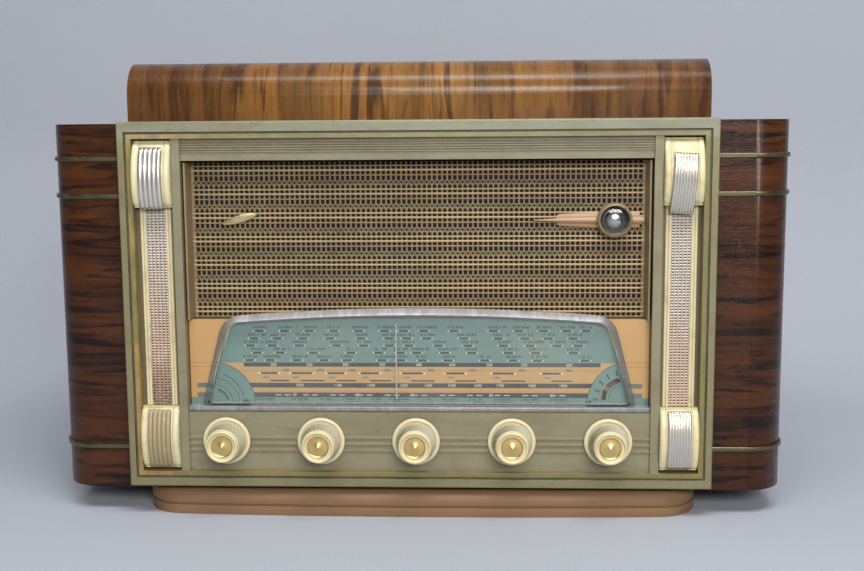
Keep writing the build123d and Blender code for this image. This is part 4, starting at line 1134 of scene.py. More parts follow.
def build_badge():
    """Plain slanted leaf with a midrib and side veins."""
    low, high = millimetres("badge")
    centre = (low + high) / 2
    tilt = math.radians(16)
    shell = Shell()
    steps = 28
    rows = []
    for step in range(steps + 1):
        along = -14.2 + 28.4 * step / steps
        share = max(0.0, 1 - (along / 14.5) ** 2)
        half = 3.1 * share ** 0.75 + 0.12
        row = []
        for side in (-1.0, -0.75, -0.45, -0.12, 0.0, 0.12, 0.45, 0.75, 1.0):
            vein = 0.28 * (0.5 + 0.5 * math.cos((along - 3.2 * abs(side)) * 2.4)) * (0.1 < abs(side) < 0.95)
            rise = 2.0 if abs(side) == 1.0 else 0.75 - 0.55 * (1 - abs(side)) * share + vein
            rise = 0.15 if abs(side) < 0.05 else rise
            x = along * math.cos(tilt) - side * half * math.sin(tilt)
            z = along * math.sin(tilt) + side * half * math.cos(tilt)
            row.append((centre.x + x, low.y + rise, centre.z + z))
        rows.append(row)
    shell.grid(rows)
    shell.piece(
        "badge_leaf",
        [metal("badge_gold", (0.72, 0.60, 0.34), 0.25, 0.45, (0.30, 0.20, 0.08), 0.4, 200)], "cabinet",
        "ivory", ("badge",), crease=60
    )


# ------------------------------------------------------------------ columns
def arc_strip(shell, half, radius, angles, across, ink=0):
    """Skin swept round a clip's axis. across gives (share of the width, height above the radius)."""
    rows = []
    for angle, share in angles:
        row = []
        for place_across, height in across(share):
            reach = radius + height
            row.append((half * place_across, -reach * math.cos(angle), reach * math.sin(angle)))
        rows.append(row)
    shell.grid(rows, ink)
    return rows


def sweep(low, high, steps):
    """Angles from the top down, with the share of the way."""
    return [(high + (low - high) * step / steps, step / steps) for step in range(steps + 1)]


def ivory_clip(name, node, level_share):
    """Saddle-shaped clip: bevelled border, a groove inside it and a lower middle."""
    low, high = millimetres(node)
    radius = sizes().clip_radius / MM
    level = low.z + level_share * (high.z - low.z)
    axis_y = low.y + radius
    middle, half = (low.x + high.x) / 2, (high.x - low.x) / 2
    top = math.asin((high.z - level) / radius)
    foot = math.asin((low.z - level) / radius)
    step = 1 / half
    border = (
        (-1, -3.4), (-1, -1.7), (-1 + 0.7 * step, -0.5), (-1 + 1.6 * step, -0.05),
        (-1 + 3.6 * step, 0.0), (-1 + 4.3 * step, -0.3), (-1 + 4.8 * step, -0.9),
        (-1 + 5.3 * step, -0.9), (-1 + 5.8 * step, -0.35)
    )
    right = tuple((-place_across, height) for place_across, height in reversed(border))

    def across(share):
        end = min(1.0, min(share, 1 - share) * 14)
        drop = 1.6 * (1 - end) ** 2
        return [(place_across, height - drop) for place_across, height in border + right]

    shell = Shell()
    rows = arc_strip(shell, half, radius, sweep(foot, top, 36), across)
    back = high.y - axis_y
    for row, z in ((rows[0], high.z - level), (rows[-1], low.z - level)):
        edge = [(x, min(y, back - 0.2), z) for x, y, _ in row]
        shell.grid([row, edge, [(x, back, z) for x, y, _ in row]])
    for column in (0, -1):
        edge = [row[column] for row in rows]
        shell.grid([edge, [(x, back, z) for x, y, z in edge]])
    shell.points = [Vector(p) + Vector((middle, axis_y, level)) for p in shell.points]
    return shell.piece(
        name, [ivory_plastic("clip_ivory", 0.5, 45.0)], "cabinet", "ivory", (node,), crease=55
    )


def ribbed_plate(name, node, clip, level_share, ribs, tilt=0.0, worn_top=0.0, faded=0.0):
    """Bent bright plate with upright ribs, over a clip."""
    low, high = millimetres(node)
    clip_low, clip_high = millimetres(clip)
    radius = sizes().clip_radius / MM
    level = clip_low.z + level_share * (clip_high.z - clip_low.z)
    axis_y = clip_low.y + radius
    middle_x, half = (low.x + high.x) / 2, (high.x - low.x) / 2
    top_angle = math.asin(min(1, (high.z - level) / (radius + 0.9)))
    foot_angle = math.asin(max(-1, (low.z - level) / (radius + 0.9)))
    columns = ribs * 12
    worn, valley = [], []

    def across(share):
        end = min(1.0, min(share, 1 - share) * 16)
        row = []
        for column in range(columns + 1):
            crown = abs(math.sin(math.pi * ribs * column / columns)) ** 0.6
            height = 0.2 + sizes().rib_height / MM * crown * end
            if column in (0, columns):
                height = 0.0
            row.append((2 * column / columns - 1, height))
            worn.append(max(faded, 1.0 - (1 - share) / worn_top if worn_top else 0.0))
            valley.append((1.0 - crown) * end)
        return row

    shell = Shell()
    arc_strip(shell, half, radius, sweep(foot_angle, top_angle, 48), across)
    turn = Matrix.Rotation(tilt, 3, "Y")
    shell.points = [turn @ Vector(p) + Vector((middle_x, axis_y, level)) for p in shell.points]
    made = shell.piece(name, [chrome_plate()], "cabinet", "ribbed_chrome", (node,), crease=60)
    for label, values in (("worn", worn), ("valley", valley)):
        mark = made.data.attributes.new(label, "FLOAT", "POINT")
        mark.data.foreach_set("value", values)
    thick = made.modifiers.new("thickness", "SOLIDIFY")
    thick.thickness = 0.0004
    thick.offset = -1.0
    return made


def ribbon(name, node):
    """Woven strip between rolled ivory edges."""
    s = sizes()
    low, high = millimetres(node)
    shell = Shell()
    edge = s.ribbon_edge / MM
    centre = (low.x + high.x) / 2
    back = high.y
    left, right = low.x + edge, high.x - edge
    shell.grid([[(left - 0.5, back - 0.5, low.z), (right + 0.5, back - 0.5, low.z)],
                [(left - 0.5, back - 0.5, high.z), (right + 0.5, back - 0.5, high.z)]], 1)
    columns = int(round((right - left) / (s.ribbon_column / MM)))
    pitch = (right - left) / columns
    row_pitch = s.ribbon_row / MM
    rows = int((high.z - low.z) / row_pitch)
    for column in range(columns + 1):
        x = left + column * pitch
        half = pitch * 0.2
        shell.grid(
            [
                [
                    (x - half, back - 0.7, z), (x - 0.5 * half, back - 1.0, z),
                    (x + 0.5 * half, back - 1.0, z), (x + half, back - 0.7, z)
                ] for z in (low.z, high.z)
            ],
            0
        )
    for row in range(rows):
        z = low.z + (row + 0.5) * row_pitch
        sections = []
        for step in range(columns * 4 + 1):
            x = left + step * pitch / 4
            lift = back - 1.05 + 0.25 * math.cos(math.pi * step / 2)
            half = row_pitch * 0.33
            sections.append([
                (x, lift + 0.35, z - half), (x, lift, z - 0.55 * half), (x, lift, z + 0.55 * half),
                (x, lift + 0.35, z + half)
            ])
        shell.grid(sections, 0)
    for side in (-1, 1):
        outer = centre + side * (high.x - low.x) / 2
        shares = (
            (0.0, 0.0), (0.02, -1.2), (0.1, -1.75), (0.26, -1.9), (0.38, -1.75), (0.45, -1.1),
            (0.52, -1.05), (0.58, -1.6), (0.72, -1.85), (0.9, -1.6), (1.0, -0.4)
        )
        profile = [(outer - side * edge * share, height) for share, height in shares]
        shell.grid(
            [[(x, back + y, low.z) for x, y in profile], [(x, back + y, high.z) for x, y in profile]], 2
        )
    finishes = [ribbon_thread(), ribbon_back(), ivory_plastic("ribbon_edge", 0.45, 40.0)]
    shell.piece(name, finishes, "cabinet", "woven_ribbon", (node,), crease=50)


def build_columns():
    """Clips, ribbed plates and ribbons of both columns."""
    below, above = 21.5, 28.6
    top_share = below / (below + above)
    for side in ("left", "right"):
        ivory_clip("clip_saddle_top_" + side, "clip_top_" + side, top_share)
        ivory_clip("clip_saddle_bottom_" + side, "clip_bottom_" + side, 0.5)
    ribbed_plate("ribs_top_left", "plate_top_left", "clip_top_left", top_share, 5, worn_top=0.22)
    ribbed_plate("ribs_top_right", "plate_top_right", "clip_top_right", top_share, 8, math.radians(3), 0.05)
    ribbed_plate(
        "ribs_bottom_left", "plate_bottom_left", "clip_bottom_left", 0.5, 5, worn_top=0.15, faded=0.95
    )
    ribbed_plate("ribs_bottom_right", "plate_bottom_right", "clip_bottom_right", 0.5, 8)
    ribbon("ribbon_weave_left", "ribbon_left")
    ribbon("ribbon_weave_right", "ribbon_right")


# ------------------------------------------------------------------ dial
FOOT_INSET, HEAD_INSET = 9.0, 27.6
WINDOW_BOW = 6.5
FOOT_CORNER, HEAD_CORNER = 6.0, 18.0
SIDE_LEAN = 14.4


def window_line(low, high, inset):
    """Outline of the dial window, anticlockwise, drawn in by an inset."""
    foot_half = high.x - FOOT_INSET - inset
    head_half = high.x - HEAD_INSET - inset
    foot, shoulder, crown = low.z + inset * 0.8, high.z - WINDOW_BOW - inset, high.z - inset
    foot_round, head_round = FOOT_CORNER, HEAD_CORNER - inset
    line = []
    for step in range(7):
        angle = math.radians(-90 + 104 * step / 6)
        line.append(
            (
                foot_half - foot_round * (1 - math.cos(angle)) + 0.3,
                foot + foot_round * (1 + math.sin(angle))
            )
        )
    slope = math.radians(SIDE_LEAN)
    centre_x, centre_z = head_half - head_round * 0.80, shoulder + 1.2 - head_round
    for step in range(13):
        angle = slope + (math.radians(84) - slope) * step / 12
        line.append((centre_x + head_round * math.cos(angle), centre_z + head_round * math.sin(angle)))
    for step in range(1, 24):
        share = (1 - 2 * step / 24) * centre_x / head_half
        line.append((head_half * share, shoulder + (crown - shoulder) * (1 - share * share)))
    return line + [(-x, z) for x, z in reversed(line[:20])]


def figures(shell, text, size, x, z, depth, ink):
    """Dial numbers as flat faces."""
    curve = bpy.data.curves.new("figures", "FONT")
    curve.body = text
    curve.size = size * MM
    curve.align_x = "CENTER"
    curve.align_y = "CENTER"
    holder = bpy.data.objects.new("figures", curve)
    bpy.context.scene.collection.objects.link(holder)
    mesh = bpy.data.meshes.new_from_object(holder)
    shell.add([(v.co.x / MM + x, depth, v.co.y / MM + z) for v in mesh.vertices],
              [tuple(p.vertices) for p in mesh.polygons], ink)
    bpy.data.objects.remove(holder)
    bpy.data.curves.remove(curve)
    bpy.data.meshes.remove(mesh)


TEAL, ORANGE, INK, CREAM, FAINT, RED = range(6)
PRINT_LAYER = 0.04
BORDER_INSET = 3.9
FIELD_INSET = 4.9
SLOT_INNER, SLOT_OUTER = 12.3, 16.2
SLOT_FIRST, SLOT_LAST = 98, 182
SECTOR_RISE = 3.9


class DialPrint:
    """Prints flat shapes on the dial card and leaves the indicator's slot open.

    Heights are in millimetres above the foot of the card.
    """

    def __init__(self, lens_low, lens_high, card_low):
        self.shell = Shell()
        self.chance = random.Random(7)
        self.base = card_low.z
        self.layers = [card_low.y - PRINT_LAYER * number for number in range(8)]
        self.field = window_line(lens_low, lens_high, FIELD_INSET)
        self.slot = (lens_high.x - 20.3, self.base + 9.4)
        self.near_x = self.slot[0] - 17.5
        self.near_z = self.slot[1] + 17.5
        self.regions = self.open_regions(self.slot[0] + 1.0, self.slot[1] - 1.5)

    def open_regions(self, right, foot):
        """Regions that together cover everything but the slot."""
        far = 400
        left, top = self.near_x, self.near_z
        step = 4
        cells = []
        for angle in range(0, 360, step):
            after = angle + step
            cells.append([
                self.slot, around(self.slot, SLOT_INNER, angle), around(self.slot, SLOT_INNER, after)
            ])
            cells.append(ring_cell(self.slot, SLOT_OUTER, 40, angle, after))
            if not SLOT_FIRST <= angle + step / 2 <= SLOT_LAST:
                cells.append(ring_cell(self.slot, SLOT_INNER, SLOT_OUTER, angle, after))
        frame_box = box_line(left, right, foot, top)
        return [
            [(-far, -far), (left, -far), (left, far), (-far, far)],
            [(right, -far), (far, -far), (far, far), (right, far)],
            [(left, top), (right, top), (right, far), (left, far)],
            [(left, -far), (right, -far), (right, foot), (left, foot)],
        ] + [cell for cell in (clip(cell, frame_box) for cell in cells) if cell]

    def lay(self, outline, level, ink):
        """Prints a shape, cut where it meets the slot."""
        near = max(x for x, z in outline) > self.near_x and min(z for x, z in outline) < self.near_z
        for region in self.regions if near else [None]:
            part = clip(outline, region) if region else outline
            if part:
                self.shell.plate(part, self.layers[level], ink)

    def band(self, x0, x1, z0, z1, ink, level, clipped=True):
        """Prints a rectangle, inside the window unless told otherwise."""
        outline = box_line(x0, x1, self.base + z0, self.base + z1)
        if clipped:
            outline = clip(outline, self.field)
        if outline:
            self.lay(outline, level, ink)

    def dot(self, x, z, radius, ink, level):
        """Prints a round dot."""
        ring = [around((x, self.base + z), radius, 30 * number) for number in range(12)]
        self.shell.plate(ring, self.layers[level], ink)

    def mark(self, centre, reach, angle, half_width, half_height):
        """Prints a small dark block at a distance from a centre."""
        x, z = around((centre[0], centre[1] - self.base), reach, angle)
        self.band(x - half_width, x + half_width, z - half_height, z + half_height, INK, 7)

    def lettering(self, x, z, width, height, ink, level):
        """A row of plain strokes where small print would be."""
        start = x
        while start < x + width:
            wide = self.chance.uniform(0.35, 0.95)
            if self.chance.random() > 0.16:
                top = z + height * self.chance.choice((1.0, 1.0, 0.8))
                self.band(start, start + wide, z, top, ink, level)
            start += wide + self.chance.uniform(0.35, 0.6)

    def numbers(self, words, size, height):
        """Prints cream figures along a band."""
        for text, x in words:
            figures(self.shell, text, size, x, self.base + height, self.layers[5], CREAM)


def print_ground(card, reach, lens_low, lens_high):
    """Coloured grounds, dark bands and what runs on outside the window."""
    for side in (-1, 1):
        card.band(*sorted((side * reach, side * 130)), 0, 9.6, TEAL, 1, False)
        card.band(*sorted((side * 172.5, side * 140)), 9.6, 13.2, FAINT, 1, False)
        card.band(*sorted((side * 172.5, side * 140)), 17.1, 20.8, FAINT, 1, False)
        for line_z in (37.0, 33.6):
            card.band(*sorted((side * reach, side * 140)), line_z, line_z + 0.35, RED, 1, False)
    card.lay(window_line(lens_low, lens_high, BORDER_INSET), 1, CREAM)
    card.band(-200, 200, 0, 90, TEAL, 2)
    card.band(-200, 200, 9.8, 37.1, ORANGE, 3)
    card.band(-135.2, 140.5, 34.0, 37.1, INK, 4)
    card.band(-200, 200, 17.4, 21.1, INK, 4)
    card.band(-200, 200, 9.8, 13.5, INK, 4)
    card.band(-200, 200, 30.9, 31.2, FAINT, 4)


def print_sectors(card):
    """Teal sectors in the lower corners, each with a dark rim."""
    foot = card.base - 5
    for side, centre, radius in ((-1, -160.3, 33.4), (1, 165.4, 35.0)):
        middle = (centre, card.base + SECTOR_RISE)
        first, last = (0, 115) if side < 0 else (65, 180)
        for rim, ink, level in ((0.5, INK, 5), (0.0, TEAL, 6)):
            reach = radius + rim
            arc = [around(middle, reach, first + (last - first) * step / 24) for step in range(25)]
            corner = (centre - side * reach, foot)
            sector = [(centre, foot)] + ([corner] + arc if side < 0 else arc + [corner])
            card.lay(clip(sector, card.field), level, ink)


def print_stations(card):
    """Five rows of blocks between cream dots, with strokes for the names."""
    rows = (
        (62.1, (-126, -106, -87, -68, -48.8, -28.6, -14.1, 1.7, 24.9, 55.0, 74.5, 93.2, 111, 126)),
        (56.2, (-130, -112, -92, -71, -46.9, -25.2, -11.6, 3.8, 32.3, 58.9, 79.2, 97.1, 116)),
        (50.6, (-133, -116, -95, -66, -45.0, -25.1, -10.0, 12.8, 35.4, 62.8, 83.1, 103.8, 120)),
        (45.0, (-128, -110, -84, -55, -33.2, -16.6, -4.0, 17.7, 38.5, 66.7, 87.4, 116.3)),
        (39.1, (-134, -118, -97, -76, -58.0, -30.9, -16.4, 0.4, 20.2, 48.5, 70.2, 88.9, 125.3)),
    )
    for z, starts in rows:
        card.band(-138, 138, z - 0.07, z + 0.07, FAINT, 3)
        for x in starts:
            card.band(x, x + 6.8, z - 0.72, z + 0.72, INK, 4)
            card.dot(x - 0.8, z, 0.55, CREAM, 5)
            card.dot(x + 7.6, z, 0.55, CREAM, 5)
            if x < 132:
                card.lettering(x - 1.5, z + 2.0, card.chance.uniform(9, 15), 2.0, INK, 4)
    card.lettering(-120, 71.4, 250, 1.3, FAINT, 4)


def print_scales(card):
    """Long-wave bars, figures, and the fine scale with its ticks."""
    bars = ((-122, -109), (-98, -82), (-70, -57), (-44, -30), (-12, 4), (22, 36), (58, 74), (96, 110))
    for start, finish in bars:
        card.band(start, finish, 28.2, 29.6, INK, 4)
        card.dot(start - 1.2, 28.9, 0.8, CREAM, 5)
        card.dot(finish + 1.2, 28.9, 0.8, CREAM, 5)
        card.band(start + 7, finish + 9, 22.4, 23.5, INK, 4)
        card.band(start + 1, start + 6, 24.8, 26.3, TEAL, 4)
        card.band(finish + 4, finish + 9, 30.4, 32.4, TEAL, 4)
    medium = (("300", -56), ("350", -27.4), ("400", 1.1), ("450", 26.7), ("500", 55.4), ("550", 82),
              ("600", 116.8), ("250", -84), ("200", -112))
    long = (("1200", -36.3), ("1300", -11.0), ("1400", 8.0), ("1500", 26.2), ("1600", 46.3), ("1700", 63.6),
            ("1100", -62), ("1000", -92), ("1800", 88), ("1900", 112))
    short = (("48", -47.4), ("49", -4.7), ("50", 56.6), ("47", -96), ("51", 104))
    card.numbers(medium, 3.2, 35.5)
    card.numbers(long, 3.2, 19.2)
    card.numbers(short, 3.4, 11.6)
    for number in range(132):
        x = -122 + number * 1.9
        whole = number % 5 == 0
        card.band(x, x + 0.28, 13.7, 13.7 + (2.6 if whole else 1.3), RED if whole else INK, 5)
    for number in range(34):
        x = -118 + number * 7.1
        if number % 3:
            card.band(x, x + 4.6, 11.3, 11.9, CREAM, 5)


def print_foot(card):
    """Two rows of strokes along the foot and a mark at each end."""
    words = ((-126, 14), (-98, 12), (-76, 9), (-58, 13), (-38, 9), (-22, 14), (0, 10), (18, 13), (40, 9),
             (58, 14), (82, 11), (102, 13))
    for x, width in words:
        card.lettering(x, 7.6, width, 1.6, INK, 4)
        card.lettering(x + 3, 5.3, width - 2, 1.5, INK, 4)
    for centre in (-134.5, 131.5):
        for step in range(2):
            card.band(centre + step * 2.4 - 2, centre + step * 2.4 - 0.3, 5.4, 7.9, INK, 7)


def print_slot_marks(card):
    """Blocks outside the indicator's slot and ticks inside it."""
    for angle in range(102, 186, 20):
        for reach in (19.0, 21.2):
            card.mark(card.slot, reach, angle, 0.65, 1.0)
    for angle in range(100, 186, 8):
        card.mark(card.slot, 10.2, angle, 0.35, 0.5)


def print_oblong(card):
    """Outlined round-ended arc in the left sector, with marks on both sides of it."""
    centre = (-160.3, card.base + SECTOR_RISE)
    first, last = 14, 74
    inner, outer, line = 16.0, 21.4, 0.35
    middle, half = (inner + outer) / 2, (outer - inner) / 2
    for angle in range(first, last, 3):
        for reach in (inner, outer):
            cell = ring_cell(centre, reach, reach + line, angle, angle + 3)
            card.shell.plate(cell, card.layers[7], INK)
    for angle, side in ((first, -1), (last, 1)):
        end = around(centre, middle, angle)
        for step in range(8):
            turns = [angle + side * 180 * (step + more) / 8 for more in (0, 1)]
            card.shell.plate(ring_cell(end, half, half + line, *turns), card.layers[7], INK)
    for angle in range(20, last, 6):
        for reach in (12.6, 25.4):
            card.mark(centre, reach, angle, 0.55, 0.75)


def build_dial():
    """Printed card, clear window, pointer and wave-band indicator."""
    card_low, card_high = millimetres("dial_card")
    lens_low, lens_high = millimetres("dial_lens")
    card = DialPrint(lens_low, lens_high, card_low)
    print_ground(card, card_high.x, lens_low, lens_high)
    print_sectors(card)
    print_stations(card)
    print_scales(card)
    print_foot(card)
    print_slot_marks(card)
    print_oblong(card)
    c = colours()
    inks = [
        print_ink("print_teal", c.teal, 0.2),
        print_ink("print_orange", c.orange, 0.2),
        print_ink("print_ink", c.ink, 0.5),
        print_ink("print_cream", c.cream, 0.15),
        print_ink("print_faint", (0.14, 0.15, 0.14), 0.4),
        print_ink("print_red", (0.36, 0.13, 0.045), 0.3),
    ]
    card.shell.piece("dial_print", inks, "cabinet", "dial_print")
    window = clear_window("dial_window", (0.95, 0.96, 0.95), 0.03, 0.10, reflection_tint=(0.42, 0.42, 0.43))
    pointer = plain("pointer_white", (0.44, 0.44, 0.40), 0.4, 0.15, 200, 0.00002)
    indicator = plain("indicator_tan", (0.34, 0.22, 0.16), 0.5, 0.3, 200, 0.00002)
    dress("dial_card", print_ink("card_orange", c.orange, 0.2))
    dress("dial_lens", window, 0.0005, 2)
    dress("dial_pointer", pointer, 0.0001, 1)
    dress("band_indicator", indicator)
    dress("pointer_rail", metal("rail_steel", (0.55, 0.54, 0.52), 0.2, 0.4))
    dress("dial_lamps", clear_window("lamp_glass", (0.95, 0.93, 0.86), 0.02, 0.08))


# ------------------------------------------------------------------ knobs
FLUTE_BACK, FLUTE_LENGTH = 19.0, 15.0


def knob_shell():
    """Domed flange, twisted flutes, raised rim and dished face."""
    s = sizes()
    flutes, depth, twist = s.knob_flutes, s.flute_depth / MM, s.flute_twist
    shell = Shell()
    segments = flutes * 6
    shell.turned(
        [
            (3.1, 21.5), (17.0, 21.5), (18.0, 21.2), (18.4, 20.4), (18.4, 19.8), (18.1, 19.1),
            (17.4, 18.6), (16.6, 18.5), (15.9, 18.9), (15.3, 19.1)
        ],
        144
    )
    rows = 14
    profile = []
    for row in range(rows + 1):
        share = row / rows
        profile.append((15.2 - 2.4 * share, FLUTE_BACK - FLUTE_LENGTH * share))

    def flute(row, angle):
        share = row / rows
        ends = min(1.0, 8 * share, 8 * (1 - share))
        return -depth * ends * (0.5 + 0.5 * math.cos(flutes * (angle + twist * share))) ** 0.8

    shell.turned(profile, segments, 1, flute)
    shell.turned(
        [
            (12.8, 4.0), (12.4, 3.6), (12.2, 3.0), (12.2, 1.0), (12.0, 0.4), (11.6, 0.1), (11.2, 0.1),
            (10.9, 0.5), (10.7, 1.3), (10.2, 1.9), (9.4, 2.2), (8.5, 2.3), (8.35, 2.8), (0.01, 2.8)
        ],
        144
    )
    return shell


def mark_flutes(mesh):
    """Marks how deep in a flute each point lies, for the painted shade in the flutes."""
    s = sizes()
    values = []
    for point in mesh.vertices:
        share = (FLUTE_BACK * MM - point.co.y) / (FLUTE_LENGTH * MM)
        angle = math.atan2(point.co.z, point.co.x)
        wave = 0.5 + 0.5 * math.cos(s.knob_flutes * (angle + s.flute_twist * share))
        values.append(wave if 0 < share < 1 else 0.0)
    mesh.attributes.new("valley", "FLOAT", "POINT").data.foreach_set("value", values)


def inlay_shell():
    """Spun disc: rolled edge, shallow cone and a pointed middle."""
    shell = Shell()
    shell.turned(
        [
            (8.3, 2.4), (8.3, 1.6), (8.1, 1.3), (7.8, 1.35), (7.5, 1.7), (7.2, 2.1), (5.4, 1.95),
            (3.6, 1.55), (1.8, 1.05), (0.7, 0.65), (0.01, 0.4)
        ],
        128
    )
    return shell


def build_knobs():
    """Five knobs with their inlays and spindles."""
    ivory = ivory_plastic("knob_ivory", 0.3, 60.0)
    skirt = fluted_skirt()
    gold = gold_inlay()
    steel = metal("spindle_steel", (0.52, 0.51, 0.49), 0.25, 0.45)
    for name in KNOB_NAMES:
        low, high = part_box("knob_" + name)
        centre = ((low.x + high.x) / 2, low.y, (low.z + high.z) / 2)
        body = name + "_control"
        made = knob_shell().piece(
            "knob_fluted_" + name, [ivory, skirt], body, "ivory", ("knob_" + name,), centre, 50
        )
        mark_flutes(made.data)
        inlay_shell().piece(
            "inlay_spun_" + name, [gold], body, "gold_inlay", ("inlay_" + name,), centre, 40
        )
        dress("spindle_" + name, steel)


# ------------------------------------------------------------------ chassis, valves and back
def build_inside():
    """Chassis, valves, speaker, sockets and back cover."""
    steel = metal("chassis_plate", (0.40, 0.39, 0.36), 0.35, 0.6, (0.14, 0.11, 0.07), 0.5, 30.0)
    dress("chassis", steel, 0.0004)
    dress("control_cans", metal("can_plate", (0.50, 0.49, 0.46), 0.3, 0.5), 0.0004)
    aluminium = metal("cast_aluminium", (0.60, 0.60, 0.60), 0.35, 0.55)
    for node in ("tuning_capacitor", "capacitor_rotor"):
        dress(node, aluminium)
    dress("screen_cans", aluminium, 0.0008, 3)
    phenolic = plain("brown_phenolic", (0.075, 0.032, 0.016), 0.35, 0.5, 90)
    dress("tuning_drum", phenolic, 0.0003)
    dress("rear_sockets", phenolic, 0.0003)
    dress(
        "speaker_frame", plain("speaker_paint", (0.07, 0.075, 0.08), 0.45, 0.4, 120, metallic=0.2),
    )
    dress("speaker_cone", plain("cone_paper", (0.035, 0.032, 0.03), 0.9, 0.5, 260))
    dress(
        "mains_transformer", plain("core_iron", (0.10, 0.095, 0.09), 0.5, 0.5, 110, metallic=0.5),
        0.0008
    )
    dress("valves", clear_window("valve_glass", (0.85, 0.86, 0.86), 0.02, 0.10))
    dress(
        "mains_grommet", plain("black_rubber", (0.018, 0.017, 0.016), 0.7, 0.3, 200),
        0.0004
    )
    dress("back_cover", pressed_board(), 0.0003)
    dress("back_screws", metal("screw_steel", (0.48, 0.46, 0.42), 0.3, 0.55), 0.0003)


def pressed_board():
    """Brown hardboard with pressed fibres."""
    made, tree = start_finish("pressed_board")
    if tree is None:
        return made
    where = place(tree)
    fibres = noise(tree, where, 420.0, 5.0, 0.7, 1.5)
    blots = noise(tree, where, 12.0, 5.0, 0.6)
    base = blend(tree, spread(tree, fibres, 0.3, 0.7), (0.10, 0.058, 0.030), (0.22, 0.135, 0.072))
    base = blend(tree, spread(tree, blots, 0.5, 0.75, 0.0, 0.4), base, (0.07, 0.045, 0.028))
    worn = effect(tree, edge_wear, {"Width": 0.0015, "Break up": 60.0})
    base = blend(tree, maths(tree, "MULTIPLY", worn["Mask"], 0.5), base, (0.33, 0.23, 0.14))
    close_finish(tree, {"Base Color": base, "Roughness": spread(tree, fibres, 0.3, 0.7, 0.65, 0.85),
                        "Normal": bump(tree, fibres, 0.0002)})
    return made


# ------------------------------------------------------------------ floor, lights and camera
def backdrop_cloth():
    """Pale cloth, open to a camera that stands behind it."""
    made, tree = start_finish("backdrop_cloth")
    if tree is None:
        return made
    where = place(tree)
    fibres = noise(tree, where, 500.0, 3.0, 0.6)
    fold_shade = noise(tree, where, 2.2, 3.0, 0.5)
    tint = colours().backdrop
    base = blend(tree, spread(tree, fibres, 0.3, 0.7), [0.94 * v for v in tint], [1.05 * v for v in tint])
    # Painted shade of folds: broad patches of the cloth are darker.
    base = blend(tree, spread(tree, fold_shade, 0.35, 0.65, 0.0, 0.25), base, [0.86 * v for v in tint])
    cloth = put(tree, "BsdfPrincipled", None, {
        "Base Color": base, "Roughness": 0.95, "Normal": bump(tree, fibres, 0.0002)})
    behind = put(tree, "NewGeometry").outputs["Backfacing"]
    open_side = maths(tree, "MULTIPLY", behind, put(tree, "LightPath").outputs["Is Camera Ray"])
    clear = put(tree, "BsdfTransparent")
    both = put(tree, "MixShader", None, {0: open_side, 1: cloth.outputs[0], 2: clear.outputs[0]})
    put(tree, "OutputMaterial", None, {"Surface": both.outputs[0]})
    return made


def build_floor():
    """Pale cloth that runs back and sweeps up behind."""
    bend = cad_high.y + 0.10
    radius = 0.32
    steps = 12
    profile = [(-1.8, 0.0), (-0.6, 0.0), (bend, 0.0)]
    for step in range(1, steps + 1):
        angle = math.pi / 2 * step / steps
        profile.append((bend + radius * math.sin(angle), radius - radius * math.cos(angle)))
    profile.append((bend + radius, 2.4))
    points, faces = [], []
    columns = 13
    for y, z in profile:
        points.extend(
            [(-3.0 + 6.0 * column / (columns - 1), y, z + cad_low.z) for column in range(columns)]
        )
    for row in range(len(profile) - 1):
        for column in range(columns - 1):
            start = row * columns + column
            faces.append((start, start + 1, start + columns + 1, start + columns))
    mesh = bpy.data.meshes.new("backdrop")
    mesh.from_pydata(points, [], faces)
    mesh.materials.append(backdrop_cloth())
    mesh.shade_smooth()
    made = bpy.data.objects.new("backdrop", mesh)
    bpy.context.scene.collection.objects.link(made)


def softbox(name, location, target, width, height, power, tint=(1, 1, 1)):
    """A soft rectangular light, aimed at a point."""
    light = bpy.data.lights.new(name, "AREA")
    light.shape = "RECTANGLE"
    light.size = width
    light.size_y = height
    light.energy = power
    light.color = tint
    made = bpy.data.objects.new(name, light)
    made.location = location
    made.rotation_euler = (Vector(target) - Vector(location)).to_track_quat("-Z", "Y").to_euler()
    bpy.context.scene.collection.objects.link(made)


def build_lights():
    """Soft light from the front, above and behind, in a pale room."""
    softbox("window_light", (0.42, -2.0, 0.95), (0.0, 0.0, 0.15), 1.2, 0.45, 30.0, (1.0, 0.99, 0.97))
    softbox("key_light", (0.40, -0.70, 1.75), (0.0, 0.0, 0.15), 1.1, 0.6, 9.0, (1.0, 0.99, 0.97))
    softbox("floor_light", (0.0, -0.9, 1.7), (0.0, -0.75, 0.0), 1.6, 0.5, 20.0, (0.98, 0.98, 1.0))
    softbox("back_light", (0.0, 0.9, 2.0), (0.0, 0.45, 0.3), 2.4, 0.8, 22.0, (0.97, 0.98, 1.0))
    world = bpy.data.worlds.new("soft_room")
    world.use_nodes = True
    shade = world.node_tree.nodes["Background"]
    shade.inputs["Color"].default_value = (0.80, 0.85, 0.95, 1.0)
    shade.inputs["Strength"].default_value = 0.22
    bpy.context.scene.world = world
    bpy.context.scene.view_settings.view_transform = "Standard"


CAMERA_PLACE = (0.05251, -0.98488, 0.29857)
CAMERA_YAW, CAMERA_PITCH, CAMERA_ROLL = -2.66, 7.641, -0.419


